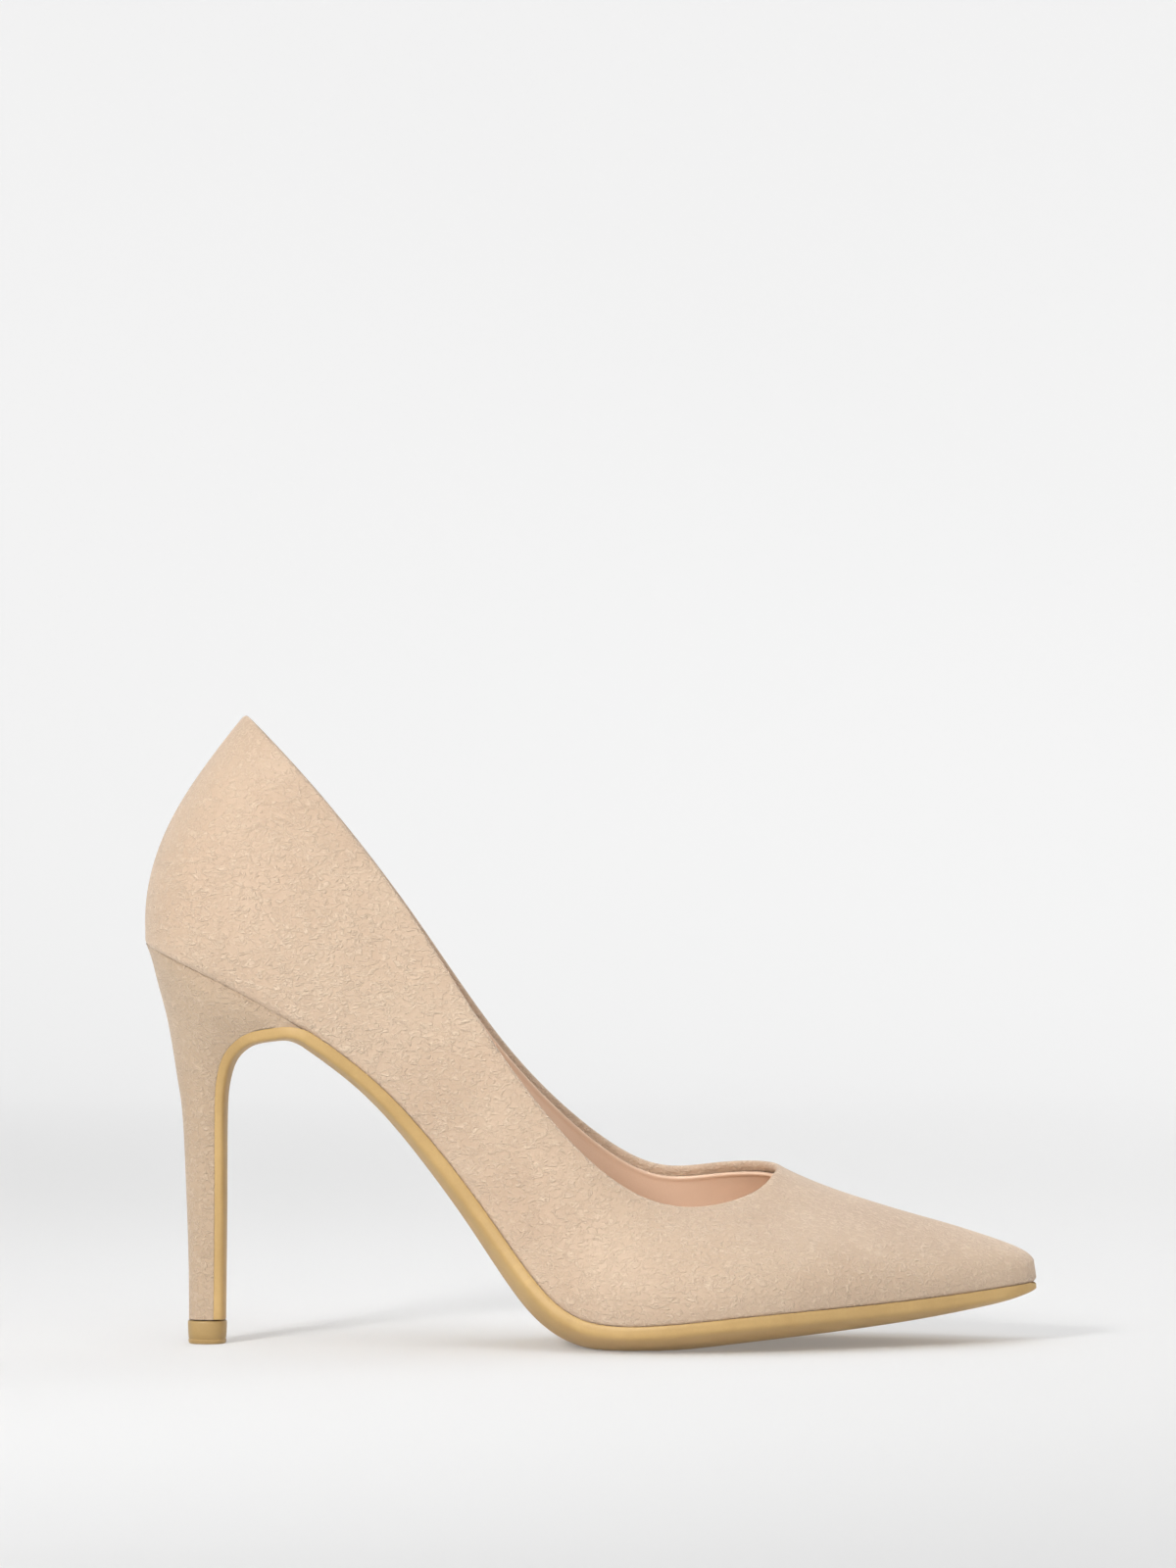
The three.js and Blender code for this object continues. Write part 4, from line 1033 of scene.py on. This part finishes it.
def build_lining(name, first, last, stations):
    turn = mix(first, last, np.linspace(0, 1, stations))[:, None]
    edge = climb_below(turn, LINING_DROP)
    roll_from = climb_below(turn, LINING_DROP + ROLL_DEPTH)
    side = FIRST_CLIMB + (roll_from - FIRST_CLIMB) * np.linspace(0, 1, LINING_STEPS)[None, :]
    rolled = roll_from + (edge - roll_from) * ROLL_SHARES
    swell = ROLL * np.sin(np.pi / 2 * ROLL_SHARES)
    near = wrapped(turn, 0.0, LINING_LOW + LINING, side)
    far = wrapped(turn, LINING, LINING_LOW, side)
    half = (LINING + ROLL) / 2
    middle = LINING - half
    rims = []
    for facing in (-1, 1):
        reach = middle + facing * half * np.cos(RIM_ANGLES)
        place, _, up = side_at(turn, edge, reach[None, :])
        rims.append(place + up * (half * np.sin(RIM_ANGLES))[None, :, None])
    near = [near, side_at(turn, rolled, -swell)[0], rims[0]]
    far = [far, side_at(turn, rolled, LINING)[0], rims[1]]
    return skin(name, np.concatenate(near, 1), np.concatenate(far, 1))


quarter_end = LINING_SEAM - SEAM_GAP
quarter = build_lining("quarter_lining_skin", -quarter_end, quarter_end, QUARTER_STATIONS)
dress(quarter, "lining", lining_leather, "quarter_lining")
vamp_start = LINING_SEAM + SEAM_GAP
vamp = build_lining("vamp_lining_skin", vamp_start, 1 - vamp_start, VAMP_STATIONS)
dress(vamp, "lining", lining_leather, "vamp_lining")

# %% [markdown]
# ## Cushions and sock
# Two thin foam cushions lie on the board, under the heel and under the ball of the foot, and a
# sock of lining leather is glued over everything. The cushions are crowned, with edges feathered
# thin, so the sock swells softly over them. Cloth simulation suits loose padding; these are cut
# from firm foam two millimetres thick, so their crown is a formula, a hump along and one across.

# %% Where the cushions lie
PAD_THICKNESS = 2.0
PAD_EDGE = 0.7
# from x to x along the shoe
PAD_RANGES = {"heel_pad": (10, 44), "forefoot_pad": (118, 172)}
CAD_STATIONS = 60
OUTLINE_SAMPLES = 4001


def turn_at(x):
    """The turn on the outer side where the outline reaches x."""
    fine = np.linspace(0, 0.5, OUTLINE_SAMPLES)
    return np.interp(along_at(x), rib_curve(fine)[:, 0], fine)


def station_at(x):
    """The station of the frame nearest to that turn."""
    stations = crowded(np.arange(CAD_STATIONS + 1) / CAD_STATIONS)
    return stations[np.argmin(abs(stations - turn_at(x)))]


pad_turns = {name: [station_at(x) for x in ends] for name, ends in PAD_RANGES.items()}
pad_base = BOARD_TOP + GLUE
print("cushion turns:", {name: np.round(ends, 3).tolist() for name, ends in pad_turns.items()})


def hump(share):
    return np.sqrt(np.maximum(np.sin(np.pi * np.clip(share, 0, 1)), 0))


def pad_top(name, turn, cross):
    first, last = pad_turns[name]
    swelling = (PAD_THICKNESS - PAD_EDGE) * hump((turn - first) / (last - first)) * hump(cross)
    return pad_base + PAD_EDGE + swelling


# %% Plates on the bent strip
# how much of the rounding is left at the very edge, so that it has a thickness
LEAST_ROUNDING = 0.02


def plate(name, first, last, stations, columns, inset, low, high):
    """A sheet between two heights over the strip, with rounded long edges."""
    turn = mix(first, last, ease(np.linspace(0, 1, stations)))[:, None]
    cross = ease(np.linspace(0, 1, columns))[None, :]
    left, right = outline(turn, -inset), outline(1 - turn, -inset)
    along = mix(left[0], right[0], cross)
    across = mix(left[1], right[1], cross)
    bottom, top = low(turn, cross), high(turn, cross)
    middle = (bottom + top) / 2
    width = np.hypot(left[0] - right[0], left[1] - right[1])
    from_edge = np.minimum(cross, 1 - cross) * width
    rounding = np.clip(from_edge / (top - bottom), LEAST_ROUNDING, 1)
    half = (top - bottom) / 2 * np.sqrt(1 - (1 - rounding) ** 2)
    return skin(name, over(along, across, middle + half)[0], over(along, across, middle - half)[0])


# %% Cushions
PAD_INSET = 3.0
PAD_STATIONS = 60
PAD_COLUMNS = 40

for name, (first, last) in pad_turns.items():
    cushion = plate(
        f"{name}_cushion", first, last, PAD_STATIONS, PAD_COLUMNS, PAD_INSET,
        lambda turn, cross: pad_base + 0 * turn * cross,
        lambda turn, cross, name=name: pad_top(name, turn, cross),
    )
    dress(cushion, "foam", hidden_finish["foam"], name)

# %% Sock
SOCK_TO = 206
SOCK_THICKNESS = 0.8
SOCK_INSET = 0.5
SOCK_STATIONS = 220
SOCK_COLUMNS = 48
# beyond a cushion the sock stays up for this many turns and comes down in as many
PAD_SLOPE = 0.02


def sock_low(turn, cross):
    lifts = []
    for name, (first, last) in pad_turns.items():
        beside = np.maximum(np.maximum(first - turn, turn - last), 0)
        settled = np.clip(1 - (beside - PAD_SLOPE) / PAD_SLOPE, 0, 1)
        lifts.append(settled * (pad_top(name, np.clip(turn, first, last), cross) - pad_base))
    return pad_base + GLUE + np.maximum(*lifts)


sock = plate(
    "sock", 0.0, station_at(SOCK_TO), SOCK_STATIONS, SOCK_COLUMNS, SOCK_INSET,
    sock_low,
    lambda turn, cross: sock_low(turn, cross) + SOCK_THICKNESS,
)
dress(sock, "sock", sock_leather, "sock_liner")

# %% [markdown]
# ## The heel cover
# The stiletto is a plastic moulding with a piece of the same suede pulled round it, glued, and
# cut off along the front where the sole hides its ends. In section it is a D: flat at the front,
# round at the back. Ten drawn sections set its line; each place on the D is a curve through them.
# A knife cut through suede is never clean, so the lower edge wanders a little.

# %% Heel sections
# 2 would make the section an ellipse; more is squarer
HEEL_FULLNESS = 2.3
HEEL_POWER = 2 / HEEL_FULLNESS
# the seat, where the heel meets the shoe
SEAT_BACK = -0.6
SEAT_FRONT_X = 39.5
SEAT_HALF = 22 * WIDTH_GRADE
COVER = 0.9
SEAT_RISE = 0.36

heel_back = np.array([(x, 0, z) for x, z, *_ in HEEL])
heel_front = np.array([(x, 0, z) for _, _, x, z, _ in HEEL])
heel_half = np.array([row[4] for row in HEEL]) * WIDTH_GRADE


def heel_sections(inset, angles):
    """The seat and the drawn sections, as points round the D."""
    back = 1 - np.sin(angles).clip(0) ** HEEL_POWER
    side = -np.sign(np.cos(angles)) * abs(np.cos(angles)) ** HEEL_POWER
    start = SEAT_BACK + inset
    along = mix(start, along_at(SEAT_FRONT_X), back)
    rise = SEAT_RISE * (1 - inset / COVER)
    rows = [over(along, side * (SEAT_HALF - inset), rise)[0]]
    for low, high, half in zip(heel_back, heel_front, heel_half):
        depth = np.linalg.norm(high - low)
        ahead = (high - low) / depth
        row = low + ahead * (inset + (depth - inset) * back)[:, None]
        row[:, 1] += side * (half - inset)
        rows.append(row)
    return np.array(rows)


def through(rows, shares):
    """A smooth loft through rows of points, at these shares of its length."""
    flat = rows.reshape(len(rows), -1)
    return spline(flat, False)(shares).reshape(len(shares), -1, 3)


print("heel:", len(HEEL), "sections and a seat")

# %% Heel cover
HEEL_STATIONS = 120
HEEL_COLUMNS = 90
# the cut wanders up by FRAY and hangs down by EDGE_DROP, fading out over EDGE_ZONE above it
FRAY = 0.28
EDGE_DROP = 0.2
EDGE_ZONE = 3
# each wave's share of the cut, waves for a step along it, and start
FRAY_WAVES = [(0.45, 1.9, 0.0), (0.3, 4.3, 1.0), (0.25, 9.1, 2.0)]
FRAY_ALONG = 3
FRAY_ACROSS = 5


def fray(place):
    """An uneven cut, from -1 to 1."""
    return sum(share * np.sin(place * rate + start) for share, rate, start in FRAY_WAVES)


def build_heel_cover():
    angles = np.pi * np.linspace(0, 1, HEEL_COLUMNS)
    shares = np.linspace(0, 1, HEEL_STATIONS)
    far = through(heel_sections(0, angles), shares)
    near = through(heel_sections(COVER, angles), shares)
    above_cut = np.clip((far[..., 2] - far[-1, :, 2]) / EDGE_ZONE, 0, 1)
    for face in (near, far):
        wander = FRAY * (0.5 + 0.5 * fray(face[..., 0] * FRAY_ALONG + face[..., 1] * FRAY_ACROSS))
        face[..., 2] += (wander - EDGE_DROP) * (1 - above_cut)
    return skin("suede_heel_cover", near, far)


dress(build_heel_cover(), "suede", heel_suede, "heel_cover")

# %% [markdown]
# ## The sole
# One moulding forms the sole, the waist under the arch and the strip down the front of the heel.
# Its edge stands upright with a softened lip, and its underside is crowned. Bevelling a block
# would do for a flat sole; this one bends and narrows, so its section is written once, in
# millimetres from its edge, and repeated along the strip and then down the heel.

# %% The section of the sole
# distance from the edge and share of the thickness, below and above
RIM_FAR = [(0.0, 0.1), (0.0, 0.55), (0.1, 0.78), (0.34, 0.92), (0.8, 1.0)]
RIM_NEAR = [(0.04, 0.86), (0.16, 1.0), (0.4, 0.97), (0.9, 0.6), (1.5, 0.28)]
SOLE_COLUMNS = 36
INNER_FROM = 2.2
# at the very toe both edges meet; this keeps the shares across from being divided by nothing
LEAST_WIDTH = 0.001
SOLE_SEAT = 0.16
# a higher power keeps the underside flat for longer before it curves up to its edge
CROWN = 3
SOLE_EDGE_SHARE = 0.7


def crown(cross):
    return 1 - abs(2 * cross - 1) ** CROWN


def sole_section(left, right, thick, edge, lip, place):
    """Near and far points of the section; `place` puts a share across and a drop in space."""
    width = np.maximum(np.linalg.norm(right - left, axis=-1), LEAST_WIDTH)[:, None]
    fit = np.minimum(1, width / (4 * INNER_FROM))
    start = INNER_FROM * fit / width
    inner = start + (1 - 2 * start) * ease(np.linspace(0, 1, SOLE_COLUMNS))[None, :]

    def drop_at(cross, share):
        return share * mix(edge, thick, crown(cross))

    near_rim = [(d * fit / width, -share * lip * fit - SOLE_SEAT) for d, share in RIM_NEAR]
    far_rim = [(d * fit / width, drop_at(d * fit / width, share)) for d, share in RIM_FAR]
    faces = []
    for rim, drop in ((near_rim, 0 * inner - SOLE_SEAT), (far_rim, drop_at(inner, 1))):
        other_rim = [(1 - cross, height) for cross, height in reversed(rim)]
        points = [place(*spot) for spot in (*rim, (inner, drop), *other_rim)]
        faces.append(np.concatenate(points, 1))
    return faces


print("points across the sole:", SOLE_COLUMNS + 2 * len(RIM_FAR))

# %% The sole under the foot
SOLE_OVERHANG = 2.6
SOLE_EDGE = 1.9
LIP = 0.75
# over the last TOE_ROUND millimetres the sole thins, down to TOE_THIN of its thickness
TOE_ROUND = 12.0
TOE_THIN = 0.25
TOE_ALONG = float(outline(np.array(0.5), SOLE_OVERHANG)[0])


def sole_rows(turn):
    turn = turn[:, None]
    left = np.concatenate(outline(turn, SOLE_OVERHANG), -1)
    right = np.concatenate(outline(1 - turn, SOLE_OVERHANG), -1)
    middle = (left[:, :1] + right[:, :1]) / 2
    to_toe = np.clip((TOE_ALONG - left[:, :1]) / TOE_ROUND, 0, 1)
    rounding = TOE_THIN + (1 - TOE_THIN) * np.sqrt(1 - (1 - to_toe) ** 2)
    thick = line_at(middle)[..., 2] * rounding
    edge = np.minimum(SOLE_EDGE, thick * SOLE_EDGE_SHARE)

    def place(cross, drop):
        along = mix(left[:, :1], right[:, :1], cross)
        across = mix(left[:, 1:], right[:, 1:], cross)
        points = over(along, across, -drop)[0]
        points[..., 2] = np.maximum(points[..., 2], 0)
        return points

    return sole_section(left, right, thick, edge, LIP, place)


print("sole length along the bottom line:", round(TOE_ALONG, 1), "mm")

# %% The strip down the heel
BREAST = 2.6
LIP_BREAST = 0.1
# the strip is thicker at the top of the arch and thins over the first rows
ARCH_EXTRA = 0.9
ARCH_EXTRA_ROWS = 5


def breast_rows():
    before = np.concatenate([over(along_at(SEAT_FRONT_X), 0, 0)[0][None], heel_front[:-1]])
    after = np.concatenate([heel_front[1:], heel_front[-1:]])
    run = unit(after - before)
    out = np.stack([-run[:, 2], 0 * run[:, 0], run[:, 0]], -1)
    half = heel_half[:, None]
    left = np.concatenate([0 * half, -half], -1)
    right = np.concatenate([0 * half, half], -1)
    fade = np.clip(1 - np.arange(len(half)) / ARCH_EXTRA_ROWS, 0, 1)[:, None]
    thick = BREAST + ARCH_EXTRA * fade
    edge = thick * SOLE_EDGE_SHARE

    def place(cross, drop):
        across = mix(-half, half, cross)
        points = heel_front[:, None] + out[:, None] * (GLUE + drop)[..., None]
        points[..., 1] += across
        return points

    return sole_section(left, right, thick, edge, LIP_BREAST, place)


print("strip:", len(heel_front), "sections down the heel")

# %% Outsole
SOLE_START = 1.2
SOLE_STATIONS = 260
BREAST_STATIONS = 130
# rows under the arch that lead into the strip, and the turn between them
ARCH_ROWS = 3
ARCH_STEP = 0.022


def build_outsole():
    start = turn_at(SEAT_FRONT_X + SOLE_START)
    turn = mix(0.5, start, np.linspace(0, 1, SOLE_STATIONS))
    arch_turn = start + ARCH_STEP * np.arange(ARCH_ROWS, -1, -1)
    faces = []
    for forward, arch, breast in zip(sole_rows(turn), sole_rows(arch_turn), breast_rows()):
        lead = ARCH_ROWS / (len(arch) + len(breast) - 1)
        shares = np.linspace(lead, 1, BREAST_STATIONS)
        bent = through(np.concatenate([arch, breast]), shares)
        faces.append(np.concatenate([forward[:-1], bent]))
    return skin("moulded_outsole", *faces)


dress(build_outsole(), "sole", sole_gold, "outsole")

# %% [markdown]
# ## The heel tip
# The small block under the heel is a hard, replaceable moulding a hair wider than the heel, with
# a fine groove above its wearing face. Its outline is a soft-cornered oval that runs under the
# strip of the sole as well, stacked in levels that set the groove and the rounded edges.

# %% Heel tip
TIP_COLUMNS = 64
TIP_LEVELS = [
    # height as a share, inset in millimetres
    (0.0, 0.55), (0.02, 0.32), (0.06, 0.2), (0.17, 0.14), (0.19, 0.3), (0.215, 0.34), (0.24, 0.2),
    (0.5, 0.08), (0.9, 0.0), (0.96, 0.06), (0.99, 0.18), (1.0, 0.4),
]


def build_tip():
    height = tip_high.z / MM
    low = np.array([tip_low.x, tip_low.y]) / MM - to_frame[:2]
    high = np.array([tip_high.x, tip_high.y]) / MM - to_frame[:2]
    centre, half = (low + high) / 2, (high - low) / 2
    angles = np.linspace(0, np.pi, TIP_COLUMNS)
    x = np.sign(np.cos(angles)) * abs(np.cos(angles)) ** HEEL_POWER
    halves = []
    for facing in (1, -1):
        y = facing * np.sin(angles).clip(0) ** HEEL_POWER
        rows = []
        for share, inset in TIP_LEVELS:
            reach = half - inset
            flat = [centre[0] + x * reach[0], centre[1] + y * reach[1]]
            rows.append(np.stack([*flat, 0 * x + share * height], -1))
        halves.append(np.array(rows))
    return skin("heel_tip", *halves)


dress(build_tip(), "heel_tip", tip_gold, "top_piece")

# %% [markdown]
# ## The hidden pieces
# Board, stiffeners, shank, filler, heel moulding and fasteners keep the shape that the frame
# gives them. They only show when the shoe is taken apart, but each still gets its own finish.

# %% Finishes for the pieces of the frame
KEPT = {
    "stiffener": ["toe_puff", "heel_counter"],
    "fibreboard": ["insole_board"],
    "filler": ["bottom_filler"],
    "heel_moulding": ["heel_core"],
    "steel": [
        "shank", "shank_rivet_rear", "shank_rivet_front", "heel_tube", "heel_screw",
        "top_piece_pin", *(f"heel_nail_{i}" for i in range(1, 5)),
    ],
}
for finish_name, nodes in KEPT.items():
    for node_name in nodes:
        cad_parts[node_name].material_slots[0].material = hidden_finish[finish_name]
print("kept nodes:", sum(len(nodes) for nodes in KEPT.values()))
